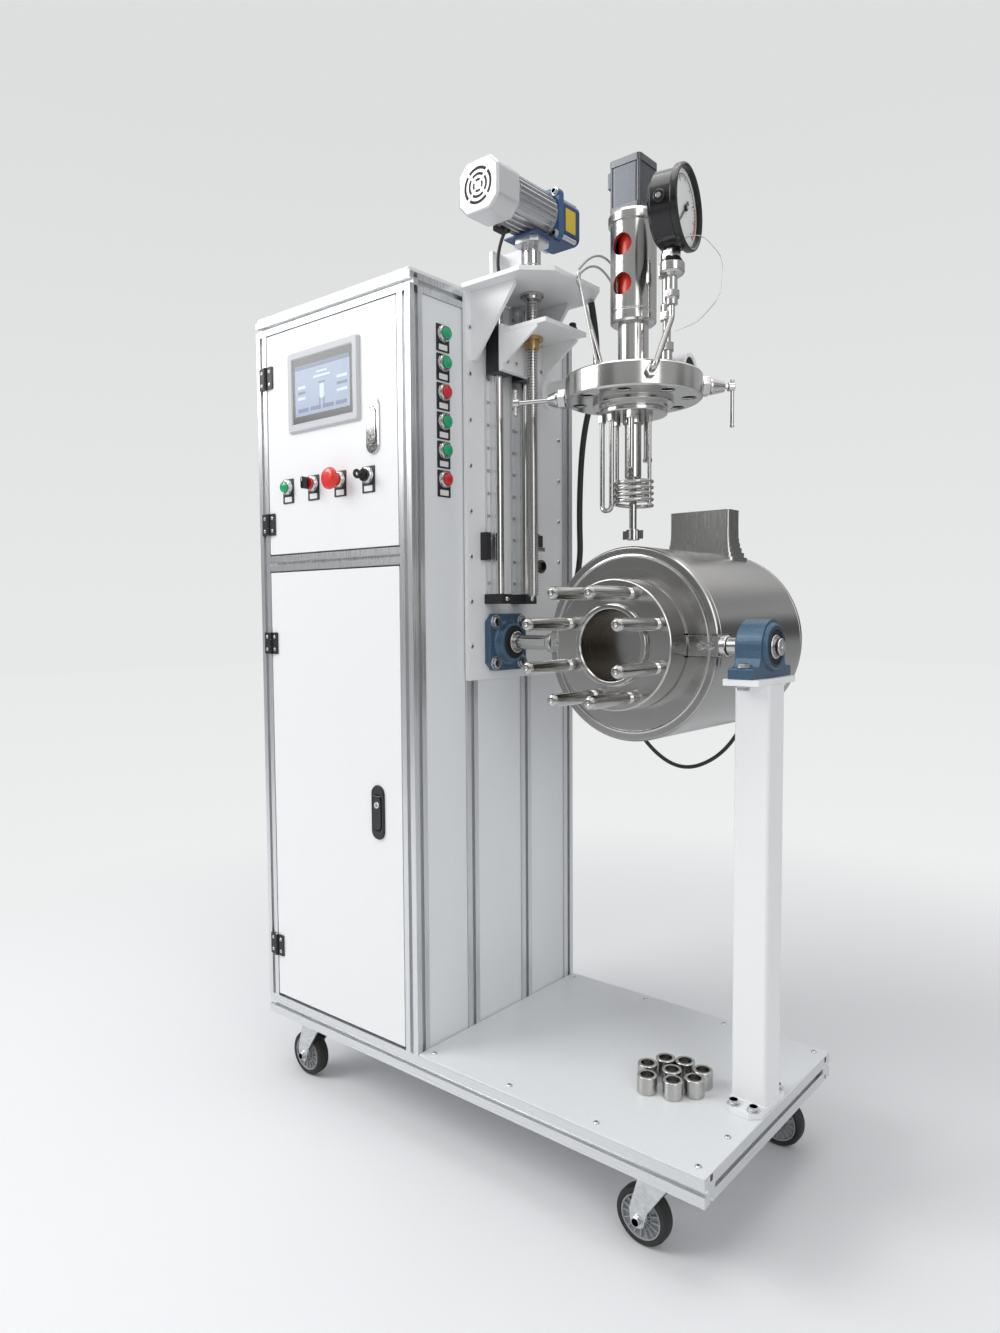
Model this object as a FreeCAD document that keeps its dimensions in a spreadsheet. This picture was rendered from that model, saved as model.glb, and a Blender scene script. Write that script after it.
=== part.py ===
"""High pressure reactor on a wheeled base: cabinet, motor lift, stirred head and tilting vessel.

Millimetres, +Z up. Places are written from the left end and the front edge of the base, and from
the floor. The frame's origin is on the floor under the middle of the machine.
"""
import FreeCAD, Part
import math
import os

import Sketcher
from FreeCAD import Placement, Rotation, Vector

doc = FreeCAD.newDocument("reactor")
sheet = doc.addObject("Spreadsheet::Sheet", "sizes")
sub_parts = {}


class Size(float):
    """A number that keeps the words of the sheet's expression it is worked out from."""

    def __new__(cls, number, text=None):
        size = float.__new__(cls, number)
        size.text = text
        return size

    def __add__(self, other):
        return Size(float(self) + float(other), f"({words(self)} + {words(other)})")

    def __radd__(self, other):
        return Size(float(other) + float(self), f"({words(other)} + {words(self)})")

    def __sub__(self, other):
        return Size(float(self) - float(other), f"({words(self)} - {words(other)})")

    def __rsub__(self, other):
        return Size(float(other) - float(self), f"({words(other)} - {words(self)})")

    def __mul__(self, other):
        return Size(float(self) * float(other), f"({words(self)} * {words(other)})")

    __rmul__ = __mul__

    def __truediv__(self, other):
        return Size(float(self) / float(other), f"({words(self)} / {words(other)})")

    def __neg__(self):
        return Size(-float(self), f"(0 - {words(self)})")


def words(value):
    """The text of a value in an expression."""
    return getattr(value, "text", None) or f"({float(value):.6f})"


def driving(name, value, meaning):
    """Write one driving size into the sheet under its own name, and return it."""
    driving.row += 1
    sheet.set(f"A{driving.row}", meaning)
    sheet.set(f"B{driving.row}", str(value))
    sheet.setAlias(f"B{driving.row}", name)
    return Size(float(sheet.getContents(f"B{driving.row}")), f"sizes.{name}")


driving.row = 0

UP = Rotation()
DOWN = Rotation(Vector(1, 0, 0), 180)
TO_RIGHT = Rotation(Vector(0, 1, 0), 90)
TO_LEFT = Rotation(Vector(0, 1, 0), -90)
TO_BACK = Rotation(Vector(1, 0, 0), -90)
# A face drawn upright and seen from the front, with its thickness towards the viewer.
TO_FRONT = Rotation(Vector(1, 0, 0), 90)
# A face drawn upright and seen from the right, with its thickness towards the viewer.
ON_SIDE = Rotation(Vector(0, 0, 1), 90).multiply(Rotation(Vector(1, 0, 0), 90))


def bind(thing, name, value):
    """Set a property, and tie it to the sheet where its value comes from there."""
    setattr(thing, name, float(value))
    if getattr(value, "text", None):
        thing.setExpression(name, value.text)


def put(thing, x, y, z, turn=UP):
    """Place a thing by the base's left end, its front edge and the floor."""
    place = (x - frame_x, y - frame_y, z)
    thing.Placement = Placement(Vector(*place), turn)
    for axis, value in zip("xyz", place):
        if getattr(value, "text", None):
            thing.setExpression(f"Placement.Base.{axis}", value.text)
    return thing


def block(corner, length, width, height):
    """A box by its lowest corner."""
    box = doc.addObject("Part::Box", "block")
    bind(box, "Length", length)
    bind(box, "Width", width)
    bind(box, "Height", height)
    return put(box, *corner)


def rod(start, radius, length, turn=UP):
    """A round bar from the middle of its first end."""
    cylinder = doc.addObject("Part::Cylinder", "rod")
    bind(cylinder, "Radius", radius)
    bind(cylinder, "Height", length)
    return put(cylinder, *start, turn)


def taper(start, radius, end_radius, length, turn=UP):
    """A cone from the middle of its first end."""
    cone = doc.addObject("Part::Cone", "taper")
    bind(cone, "Radius1", radius)
    bind(cone, "Radius2", end_radius)
    bind(cone, "Height", length)
    return put(cone, *start, turn)


def hexagon(start, radius, length, turn=UP):
    """A six-sided bar by the radius of its corners."""
    prism = doc.addObject("Part::Prism", "hexagon")
    prism.Polygon = 6
    bind(prism, "Circumradius", radius)
    bind(prism, "Height", length)
    return put(prism, *start, turn)


def join(*pieces):
    """Pieces welded or cast into one."""
    union = doc.addObject("Part::MultiFuse", "join")
    union.Shapes = list(pieces)
    return union


def cut(base, *tools):
    """A piece with others cut out of it."""
    rest = doc.addObject("Part::Cut", "cut")
    rest.Base = base
    rest.Tool = tools[0] if len(tools) == 1 else join(*tools)
    return rest


def together(*pieces):
    """Separate pieces that share one sub-part."""
    compound = doc.addObject("Part::Compound", "together")
    compound.Links = list(pieces)
    return compound


def keep(label, piece):
    """Give a finished sub-part its name."""
    piece.Label = label
    sub_parts[label] = piece
    return piece


def hold(sketch, kind, geometry, point, value):
    """Hold a point of a sketch at its distance from the origin."""
    if float(value) == 0 and not getattr(value, "text", None):
        axis = -2 if kind == "DistanceX" else -1
        sketch.addConstraint(Sketcher.Constraint("PointOnObject", geometry, point, axis))
        return
    constraint = Sketcher.Constraint(kind, -1, 1, geometry, point, float(value))
    number = sketch.addConstraint(constraint)
    if getattr(value, "text", None):
        sketch.setExpression(f"Constraints[{number}]", value.text)


def outline(sketch, points):
    """Draw a closed outline of straight sides, held at each corner."""
    corners = [Vector(float(u), float(v), 0) for u, v in points]
    sides = [
        sketch.addGeometry(Part.LineSegment(start, end))
        for start, end in zip(corners, corners[1:] + corners[:1])
    ]
    for side, following in zip(sides, sides[1:] + sides[:1]):
        sketch.addConstraint(Sketcher.Constraint("Coincident", side, 2, following, 1))
    for side, (u, v) in zip(sides, points):
        hold(sketch, "DistanceX", side, 1, u)
        hold(sketch, "DistanceY", side, 1, v)


def circle(sketch, u, v, radius):
    """Draw a circle, held at its centre and by its radius."""
    centre = Vector(float(u), float(v), 0)
    ring = sketch.addGeometry(Part.Circle(centre, Vector(0, 0, 1), float(radius)))
    hold(sketch, "DistanceX", ring, 3, u)
    hold(sketch, "DistanceY", ring, 3, v)
    number = sketch.addConstraint(Sketcher.Constraint("Radius", ring, float(radius)))
    if getattr(radius, "text", None):
        sketch.setExpression(f"Constraints[{number}]", radius.text)


def rectangle(sketch, left, low, width, height):
    """Draw a rectangle by its lowest corner."""
    right = left + width
    top = low + height
    outline(sketch, [(left, low), (right, low), (right, top), (left, top)])


def drawn(body, role, lift=0):
    """A new sketch on one of the body's own planes, raised along the plane's normal."""
    sketch = body.newObject("Sketcher::SketchObject", "sketch")
    plane = next(f for f in body.Origin.OriginFeatures if f.Role == role)
    sketch.AttachmentSupport = [(plane, "")]
    sketch.MapMode = "FlatFace"
    if float(lift) or getattr(lift, "text", None):
        sketch.AttachmentOffset = Placement(Vector(0, 0, float(lift)), Rotation())
        if getattr(lift, "text", None):
            sketch.setExpression("AttachmentOffset.Base.z", lift.text)
    return sketch


def pad(body, sketch, thickness):
    """Raise a sketch into a solid."""
    raised = body.newObject("PartDesign::Pad", "pad")
    raised.Profile = sketch
    bind(raised, "Length", thickness)
    return raised


def plate(points, thickness, start, turn=UP, holes=()):
    """A flat body from its outline, with round holes as (u, v, radius)."""
    body = doc.addObject("PartDesign::Body", "plate")
    sketch = drawn(body, "XY_Plane")
    outline(sketch, points)
    for u, v, radius in holes:
        circle(sketch, u, v, radius)
    pad(body, sketch, thickness)
    put(body, *start, turn)
    return body


def turned(profile, start, turn=UP):
    """A body turned about its own Z axis from a half section of (radius, height) corners."""
    body = doc.addObject("PartDesign::Body", "turned")
    sketch = drawn(body, "XZ_Plane")
    outline(sketch, profile)
    spun = body.newObject("PartDesign::Revolution", "revolution")
    spun.Profile = sketch
    spun.ReferenceAxis = (sketch, ["V_Axis"])
    spun.Angle = 360
    put(body, *start, turn)
    return body


def bored(body, circles, copies=1, around=True, span=0):
    """Cut round holes right through a body, repeated around its axis or along its length."""
    sketch = drawn(body, "XY_Plane")
    for u, v, radius in circles:
        circle(sketch, u, v, radius)
    pocket = body.newObject("PartDesign::Pocket", "holes")
    pocket.Profile = sketch
    pocket.Type = "ThroughAll"
    pocket.Midplane = True
    if copies == 1:
        return body
    kind = "PolarPattern" if around else "LinearPattern"
    pattern = body.newObject(f"PartDesign::{kind}", "pattern")
    pattern.Originals = [pocket]
    pattern.Occurrences = copies
    if around:
        pattern.Axis = (sketch, ["N_Axis"])
        pattern.Angle = 360
    else:
        pattern.Direction = (sketch, ["V_Axis"])
        bind(pattern, "Length", span)
    body.Tip = pattern
    return body


def corners_rounded(body, radius):
    """Round the edges that stand along the body's own Z axis at its outermost corners."""
    doc.recompute()
    tip = body.Tip
    bounds = tip.Shape.BoundBox
    names = []
    for number, edge in enumerate(tip.Shape.Edges, 1):
        ends = [vertex.Point for vertex in edge.Vertexes]
        upright = len(ends) == 2 and abs(ends[0].x - ends[1].x) + abs(ends[0].y - ends[1].y) < 1e-6
        if not upright:
            continue
        at_side = min(abs(ends[0].x - bounds.XMin), abs(ends[0].x - bounds.XMax)) < 1e-6
        at_end = min(abs(ends[0].y - bounds.YMin), abs(ends[0].y - bounds.YMax)) < 1e-6
        if at_side and at_end:
            names.append(f"Edge{number}")
    fillet = body.newObject("PartDesign::Fillet", "rounded")
    fillet.Base = (tip, names)
    bind(fillet, "Radius", radius)
    return body


def path(points, bend=None):
    """Straight runs through the points with a tangent arc at each corner, and the arcs' radii."""
    edges = []
    radii = []
    start = points[0]
    for before, corner, after in zip(points, points[1:], points[2:]):
        back = (before - corner).normalize()
        ahead = (after - corner).normalize()
        half_turn = (math.pi - back.getAngle(ahead)) / 2
        shorter = min((before - corner).Length, (after - corner).Length)
        radius = float(bend) if bend else 0.45 * shorter / math.tan(half_turn)
        setback = radius * math.tan(half_turn)
        inward = (back + ahead).normalize() * (radius / math.cos(half_turn) - radius)
        arc_start = corner + back * setback
        arc_end = corner + ahead * setback
        edges.append(Part.LineSegment(start, arc_start).toShape())
        edges.append(Part.Arc(arc_start, corner + inward, arc_end).toShape())
        radii.append(radius)
        start = arc_end
    edges.append(Part.LineSegment(start, points[-1]).toShape())
    return Part.Wire(edges), radii


def tube(points, radius, bend=None):
    """A round tube or cord along its path, as a solid of its own."""
    corners = [Vector(*(float(value) for value in point)) for point in points]
    wire, radii = path(corners, bend)
    ring = Part.Circle(corners[0], corners[1] - corners[0], float(radius)).toShape()
    solid = wire.makePipeShell([Part.Wire(ring)], True, False)
    length = wire.Length
    section = math.pi * float(radius) ** 2
    print(f"tube {length:.0f} long, radius {float(radius):.1f}, volume ratio"
          f" {solid.Volume / (section * length):.3f}, arcs {[round(r) for r in radii]}")
    feature = doc.addObject("Part::Feature", "tube")
    feature.Shape = solid
    return put(feature, Size(0), Size(0), Size(0))


# The whole machine
base_length = driving("base_length", 970, "base, left to right")
base_depth = driving("base_depth", 460, "base, front to back")
frame_y = driving("middle_depth", 265, "front edge of the base to the middle of the whole depth")
caster_height = driving("caster_height", 125, "floor to the underside of the base")
frame_x = base_length / 2
cab_width = driving("cabinet_width", 426, "cabinet, left to right")
cab_height = driving("cabinet_height", 1336, "cabinet, base to the top of its lid")
reactor_x = driving("reactor_place", 716, "left end of the base to the reactor's axis")
centre_y = driving("centre_depth", 226, "front edge to the lift, the head and the tilt axis")
tilt_height = driving("tilt_height", 876, "floor to the tilt axis")
lid_height = driving("lid_height", 1274, "floor to the underside of the head's lid")

# Base: slotted aluminium bars, a deck plate and its screws
rail = driving("rail_size", 40, "side of the base's bars")
slot_width = driving("slot_width", 8, "width of the slots in the bars")
slot_depth = driving("slot_depth", 9, "depth of the slots in the bars")
deck_thick = driving("deck_thickness", 3, "deck plate")
screw_radius = driving("small_screw_radius", 2.5, "shank of the small screws")
hole_play = driving("hole_clearance", 0.3, "clearance of a screw in its hole")
base_top = caster_height + rail
deck_top = base_top + deck_thick


def bar(side, start, length, turn):
    """A square bar with a slot along each face, from the middle of its first end."""
    half = side / 2
    lip = slot_width / 2
    floor = half - slot_depth
    quarter = [(-half, -half), (-lip, -half), (-lip, -floor), (lip, -floor), (lip, -half)]
    points = []
    for _ in range(4):
        points += quarter
        quarter = [(-v, u) for u, v in quarter]
    return plate(points, length, start, turn)


near = rail / 2
rail_z = caster_height + near
rail_gap = base_depth - 2 * rail
keep("base_rails", together(
    bar(rail, (Size(0), near, rail_z), base_length, TO_RIGHT),
    bar(rail, (Size(0), base_depth - near, rail_z), base_length, TO_RIGHT),
    *[bar(rail, (x, rail, rail_z), rail_gap, TO_BACK)
      for x in (near, cab_width - near, base_length - near)],
))

deck_length = base_length - cab_width
deck_outline = [(Size(0), Size(0)), (deck_length, Size(0)), (deck_length, base_depth),
                (Size(0), base_depth)]
keep("deck_plate", plate(deck_outline, deck_thick, (cab_width, Size(0), base_top)))
screws = []

# Cabinet: corner posts, side posts, top and middle rails, and the panels between them
post = driving("post_size", 30, "side of the cabinet's bars")
panel = driving("panel_thickness", 3, "cabinet panels")
panel_inset = driving("panel_inset", 3, "depth of a panel behind the face of the bars")
lid_panel = driving("cabinet_lid", 6, "cabinet's top panel")
middle_rail_z = driving("middle_rail_height", 1028, "floor to the middle of the rail between doors")
side_post_a = driving("side_post_front", 148, "front edge to the front side post")
side_post_b = driving("side_post_back", 305, "front edge to the back side post")
half_post = post / 2
cab_top = base_top + cab_height
rail_top = cab_top - lid_panel
post_length = rail_top - post - base_top
right_x = cab_width - half_post
left_x = half_post
back_y = base_depth - half_post
top_rail_z = rail_top - half_post
keep("cabinet_frame", together(
    *[bar(post, (x, y, base_top), post_length, UP)
      for x, y in ((left_x, half_post), (right_x, half_post), (left_x, back_y), (right_x, back_y),
                   (right_x, side_post_a), (right_x, side_post_b))],
    *[bar(post, (Size(0), y, top_rail_z), cab_width, TO_RIGHT) for y in (half_post, back_y)],
    *[bar(post, (x, post, top_rail_z), base_depth - 2 * post, TO_BACK) for x in (left_x, right_x)],
    bar(post, (post, half_post, middle_rail_z), cab_width - 2 * post, TO_RIGHT),
))

side_front = [post, side_post_a + half_post, side_post_b + half_post]
side_back = [side_post_a - half_post, side_post_b - half_post, base_depth - post]
inner_x = cab_width - panel_inset - panel
cab_floor_z = base_top
keep("cabinet_panels", together(
    block((panel_inset, post, base_top), panel, base_depth - 2 * post, post_length),
    block((post, base_depth - panel_inset - panel, base_top), cab_width - 2 * post, panel,
          post_length),
    *[block((inner_x, start, base_top), panel, end - start, post_length)
      for start, end in zip(side_front, side_back)],
    block((Size(0), Size(0), rail_top), cab_width, base_depth, lid_panel),
    block((post, post, cab_floor_z), cab_width - 2 * post, base_depth - 2 * post, panel),
))

# Control gear on its plate at the back of the cabinet
gear_plate_low = driving("gear_plate_low", 520, "floor to the control gear's plate")
gear_plate_tall = driving("gear_plate_height", 620, "height of the control gear's plate")
gear_depth = driving("gear_depth", 110, "depth of the drive unit")
gear_y = base_depth - post - panel
gear_left = post / 3
gear_width = cab_width - 2 * gear_left


def gear_box(x, z, width, depth, height):
    """One housing of the control gear, seated on the plate."""
    return block((x, gear_y - depth, gear_plate_low + z), width, depth, height)


keep("control_gear", together(
    block((gear_left, gear_y, gear_plate_low), gear_width, panel, gear_plate_tall),
    gear_box(Size(50), 60, 90, gear_depth, 170),
    gear_box(Size(160), 60, 90, gear_depth, 170),
    gear_box(Size(275), 60, 70, gear_depth * 0.7, 150),
    gear_box(Size(50), 330, 300, gear_depth * 0.45, 45),
    gear_box(Size(50), 450, 130, gear_depth * 0.65, 95),
    gear_box(Size(200), 450, 150, gear_depth * 0.65, 95),
))

# Doors: folded sheet trays with rounded corners, hung on leaf hinges at their left edge
door_gap = driving("door_gap", 2.6, "gap round a door")
door_depth = driving("door_depth", 18, "depth of a door")
door_sheet = driving("door_sheet", 2, "sheet of a door")
door_corner = driving("door_corner", 5, "rounding of a door's corners")
hinge_tall = driving("hinge_height", 42, "height of a hinge")
leaf_width = driving("leaf_width", 16, "width of a hinge leaf beside its knuckles")
leaf_thick = driving("leaf_thickness", 2.4, "hinge leaf")
knuckle = driving("knuckle_radius", 3.6, "radius of the hinge knuckles")
pin = driving("hinge_pin", 2, "radius of the hinge pins")
run_play = driving("running_clearance", 0.05, "radial clearance of shafts and pins")
end_play = driving("end_clearance", 0.4, "clearance at the ends of what turns")
seat_play = driving("seat_clearance", 0.3, "clearance between pieces that move past each other")
hinge_x = post + door_gap / 2
hinge_y = -(knuckle + seat_play)
door_left = post + door_gap
door_width = cab_width - 2 * post - 2 * door_gap
upper_low = middle_rail_z + half_post + door_gap
upper_tall = rail_top - post - door_gap - upper_low
lower_low = deck_top + door_gap
lower_tall = middle_rail_z - half_post - door_gap - lower_low
hinge_inset = driving("hinge_inset", 58, "end of a door to the middle of its hinge")


def door(low, tall, holes=(), window=None):
    """A door's tray: the front sheet with its cut-outs, and the rim folded back behind it."""
    body = doc.addObject("PartDesign::Body", "door")
    rim = drawn(body, "XY_Plane")
    rectangle(rim, Size(0), Size(0), door_width, tall)
    rectangle(rim, door_sheet, door_sheet, door_width - 2 * door_sheet, tall - 2 * door_sheet)
    pad(body, rim, door_depth)
    front = drawn(body, "XY_Plane", door_depth - door_sheet)
    rectangle(front, door_sheet / 2, door_sheet / 2, door_width - door_sheet, tall - door_sheet)
    if window:
        rectangle(front, *window)
    for u, v, radius in holes:
        circle(front, u, v, radius)
    pad(body, front, door_sheet)
    corners_rounded(body, door_corner)
    return put(body, door_left, door_depth, low, TO_FRONT)


def fixed_leaf(low):
    """The leaf on the post, with the knuckles at both ends and the pin between them."""
    third = hinge_tall / 3
    leaf = block((hinge_x - knuckle - seat_play - leaf_width, -leaf_thick, low), leaf_width,
                 leaf_thick, hinge_tall)
    ends = [low, low + 2 * third]
    tabs = [block((hinge_x - knuckle - seat_play, -leaf_thick, z), knuckle + seat_play, leaf_thick,
                  third) for z in ends]
    knuckles = [rod((hinge_x, hinge_y, z), knuckle, third) for z in ends]
    return join(leaf, *tabs, *knuckles, rod((hinge_x, hinge_y, low), pin, hinge_tall))


def door_leaf(low):
    """The leaf on the door, with the middle knuckle round the pin."""
    third = hinge_tall / 3
    z = low + third + end_play
    tall = third - 2 * end_play
    leaf = block((hinge_x + knuckle + seat_play, -leaf_thick, low), leaf_width, leaf_thick,
                 hinge_tall)
    tab = block((hinge_x, -leaf_thick, z), knuckle + seat_play, leaf_thick, tall)
    whole = join(leaf, tab, rod((hinge_x, hinge_y, z), knuckle, tall))
    return cut(whole, rod((hinge_x, hinge_y, low), pin + run_play, hinge_tall))


upper_hinges = [upper_low + hinge_inset - hinge_tall / 2,
                upper_low + upper_tall - hinge_inset - hinge_tall]
lower_hinges = [lower_low + hinge_inset + hinge_tall / 2,
                lower_low + lower_tall - 2 * hinge_inset - hinge_tall]
keep("hinge_leaves", together(*[fixed_leaf(low) for low in upper_hinges + lower_hinges]))

# Controls: a legend plate, a collar with its barrel through the sheet, and the actuator
barrel = driving("barrel_radius", 11, "barrel of a push button")
collar = driving("collar_radius", 14.5, "collar of a push button")
collar_rise = driving("collar_height", 9, "height of a collar")
cap = driving("cap_radius", 10.4, "cap of a push button")
cap_rise = driving("cap_height", 9, "height of a cap")
cap_travel = driving("cap_travel", 4, "travel of a push button")
legend_width = driving("legend_width", 32, "legend plate")
legend_tall = driving("legend_height", 46, "legend plate")
legend_thick = driving("legend_thickness", 1.6, "legend plate")
legend_over = driving("legend_over", 16, "legend plate above its button's axis")
barrel_deep = driving("barrel_depth", 32, "barrel behind the sheet")
cap_low = legend_thick + 2 * seat_play + cap_travel
cap_wall = driving("cap_wall", 0.3, "clearance round a cap")


def collar_body(x, y, z, turn, through=True):
    """The collar, bored in front for the actuator, with its barrel where the sheet is open."""
    inner = cap + cap_wall
    behind = [(0, -barrel_deep), (barrel, -barrel_deep), (barrel, legend_thick)]
    profile = [(collar, legend_thick), (collar - 1, legend_thick + collar_rise),
               (inner, legend_thick + collar_rise), (inner, legend_thick + seat_play),
               (0, legend_thick + seat_play)]
    return turned((behind if through else [(0, legend_thick)]) + profile, (x, y, z), turn)


def legend(x, y, z, turn, through=True):
    """The plate behind a collar, with the hole for its barrel."""
    half = legend_width / 2
    low = legend_over - legend_tall
    points = [(-half, low), (half, low), (half, legend_over), (-half, legend_over)]
    holes = [(Size(0), Size(0), barrel + hole_play)] if through else []
    return plate(points, legend_thick, (x, y, z), turn, holes)


def button_cap(x, y, z, turn):
    """A push button's cap, domed at the front."""
    profile = [(0, cap_low), (cap, cap_low), (cap, cap_low + cap_rise - 2),
               (cap - 2, cap_low + cap_rise), (0, cap_low + cap_rise)]
    return turned(profile, (x, y, z), turn)


front_row_z = driving("front_row_height", 1170, "floor to the row of controls on the upper door")
front_row_x = driving("front_row_start", 94, "left end to the first control")
front_pitch = driving("front_row_pitch", 75.5, "pitch of the controls on the upper door")
front_places = [front_row_x + front_pitch * number for number in range(4)]
front_y = Size(0)
keep("front_bezels", together(
    *[legend(x, front_y, front_row_z, TO_FRONT) for x in front_places],
    *[collar_body(x, front_y, front_row_z, TO_FRONT) for x in front_places],
))
control_holes = [(x - door_left, front_row_z - upper_low, barrel + hole_play) for x in front_places]

# Touch panel: a framed screen let into the upper door
screen_left = driving("screen_left", 103, "left end to the touch panel")
screen_low = driving("screen_low", 1268, "floor to the touch panel")
screen_width = driving("screen_width", 199, "touch panel")
screen_tall = driving("screen_height", 148, "touch panel")
screen_thick = driving("screen_thickness", 7, "touch panel's frame")
screen_border = driving("screen_border", 15, "width of the touch panel's frame")
screen_deep = driving("screen_depth", 34, "touch panel behind the sheet")
screen_lip = driving("screen_lip", 7, "touch panel's frame past its cut-out")
window = (screen_left + screen_lip - door_left, screen_low + screen_lip - upper_low,
          screen_width - 2 * screen_lip, screen_tall - 2 * screen_lip)
panel_body = doc.addObject("PartDesign::Body", "touch_panel")
frame_sketch = drawn(panel_body, "XY_Plane")
rectangle(frame_sketch, Size(0), Size(0), screen_width, screen_tall)
rectangle(frame_sketch, screen_border, screen_border, screen_width - 2 * screen_border,
          screen_tall - 2 * screen_border)
pad(panel_body, frame_sketch, screen_thick)
glass_sketch = drawn(panel_body, "XY_Plane")
rectangle(glass_sketch, screen_border / 2, screen_border / 2, screen_width - screen_border,
          screen_tall - screen_border)
pad(panel_body, glass_sketch, screen_thick - 1.5)
corners_rounded(panel_body, driving("screen_corner", 5, "rounding of the touch panel's corners"))
put(panel_body, screen_left, Size(0), screen_low, TO_FRONT)
case_play = hole_play
keep("touch_panel", join(panel_body, block(
    (screen_left + screen_lip + case_play, Size(0), screen_low + screen_lip + case_play),
    screen_width - 2 * screen_lip - 2 * case_play, screen_deep,
    screen_tall - 2 * screen_lip - 2 * case_play)))

# Door latches: a framed plate on the door, and the lever that swings out of it about its top
latch_x = driving("latch_place", 334, "left end to the latches")
latch_width = driving("latch_width", 32, "latch plate")
latch_tall = driving("latch_height", 97, "latch plate")
latch_thick = driving("latch_thickness", 4, "latch plate")
lever_width = driving("lever_width", 20, "latch lever")
lever_tall = driving("lever_height", 62, "latch lever")
lever_thick = driving("lever_thickness", 5, "latch lever")
upper_latch_z = driving("upper_latch_height", 1205, "floor to the upper latch")
lower_latch_z = driving("lower_latch_height", 530, "floor to the lower latch")
lever_drop = (latch_tall - lever_tall) / 2


def latch_plate(low):
    """The latch's plate: a frame round the lever with rounded corners, seated on the sheet."""
    body = doc.addObject("PartDesign::Body", "latch")
    sketch = drawn(body, "XY_Plane")
    rectangle(sketch, Size(0), Size(0), latch_width, latch_tall)
    gap = seat_play * 2
    rectangle(sketch, (latch_width - lever_width) / 2 - gap, lever_drop - gap,
              lever_width + 2 * gap, lever_tall + 2 * gap)
    pad(body, sketch, latch_thick)
    corners_rounded(body, latch_width / 2.2)
    return put(body, latch_x - latch_width / 2, Size(0), low, TO_FRONT)


def latch_lever(low):
    """The lever: a flat grip with a round top edge, which it turns about."""
    half = lever_thick / 2
    left = latch_x - lever_width / 2
    bottom = low + lever_drop
    top = bottom + lever_tall - half
    return join(block((left, -lever_thick - seat_play, bottom), lever_width, lever_thick,
                      lever_tall - half),
                rod((left, -half - seat_play, top), half, lever_width, TO_RIGHT))


keep("upper_door", together(door(upper_low, upper_tall, control_holes, window),
                            latch_plate(upper_latch_z), *[door_leaf(z) for z in upper_hinges]))
keep("lower_door", together(door(lower_low, lower_tall), latch_plate(lower_latch_z),
                            *[door_leaf(z) for z in lower_hinges]))
keep("upper_latch", latch_lever(upper_latch_z))
keep("lower_latch", latch_lever(lower_latch_z))

# Front controls: start button, selector, emergency stop and key switch
stop_radius = driving("stop_radius", 20, "emergency stop's head")
stop_stand = driving("stop_stand", 20, "face of the door to the underside of the stop's head")
stop_head = driving("stop_head", 13, "thickness of the stop's head")
knob_radius = driving("knob_radius", 11.5, "selector's knob")
knob_rise = driving("knob_height", 17, "selector's knob")
key_length = driving("key_length", 24, "key in front of its switch")
start_x, select_x, stop_x, key_x = front_places
keep("start_button", button_cap(start_x, front_y, front_row_z, TO_FRONT))
knob_low = legend_thick + seat_play
over_collar = legend_thick + collar_rise + seat_play
grip_low = over_collar + 4
keep("selector_knob", join(
    turned([(0, knob_low), (cap, knob_low), (cap, over_collar), (knob_radius, over_collar),
            (knob_radius, grip_low), (0, grip_low)], (select_x, front_y, front_row_z), TO_FRONT),
    block((select_x - knob_radius * 0.35, -(over_collar + knob_rise), front_row_z - knob_radius * 0.95),
          knob_radius * 0.7, knob_rise, knob_radius * 1.9),
))
keep("emergency_stop", turned(
    [(0, cap_low), (cap, cap_low), (cap, stop_stand), (stop_radius * 0.8, stop_stand),
     (stop_radius, stop_stand + stop_head * 0.35), (stop_radius * 0.9, stop_stand + stop_head * 0.8),
     (stop_radius * 0.6, stop_stand + stop_head), (0, stop_stand + stop_head)],
    (stop_x, front_y, front_row_z), TO_FRONT))
key_thick = driving("key_thickness", 2.4, "key")
key_bow = driving("key_bow", 10, "radius of the key's bow")
key_face = over_collar + 3
keep("switch_key", join(
    turned([(0, knob_low), (cap, knob_low), (cap, over_collar), (knob_radius, over_collar),
            (knob_radius, key_face), (0, key_face)], (key_x, front_y, front_row_z), TO_FRONT),
    block((key_x - key_thick / 2, -(key_face + key_length / 2), front_row_z - key_bow * 0.35), key_thick,
          key_length / 2, key_bow * 0.7),
    rod((key_x - key_thick / 2, -(key_face + key_length / 2), front_row_z), key_bow, key_thick, TO_RIGHT),
))

# Push buttons on the cabinet's right side, in a column on the front panel
side_y = driving("side_button_place", 81, "front edge to the column of side buttons")
side_row_z = driving("side_button_low", 1161, "floor to the lowest side button")
side_pitch = driving("side_button_pitch", 49.6, "pitch of the side buttons")
side_x = inner_x + panel
side_heights = [side_row_z + side_pitch * number for number in range(6)]
keep("side_bezels", together(
    *[legend(side_x, side_y, z, ON_SIDE, False) for z in side_heights],
    *[collar_body(side_x, side_y, z, ON_SIDE, False) for z in side_heights],
))
for number, z in enumerate(side_heights, 1):
    keep(f"side_button_{number}", button_cap(side_x, side_y, z, ON_SIDE))

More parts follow.
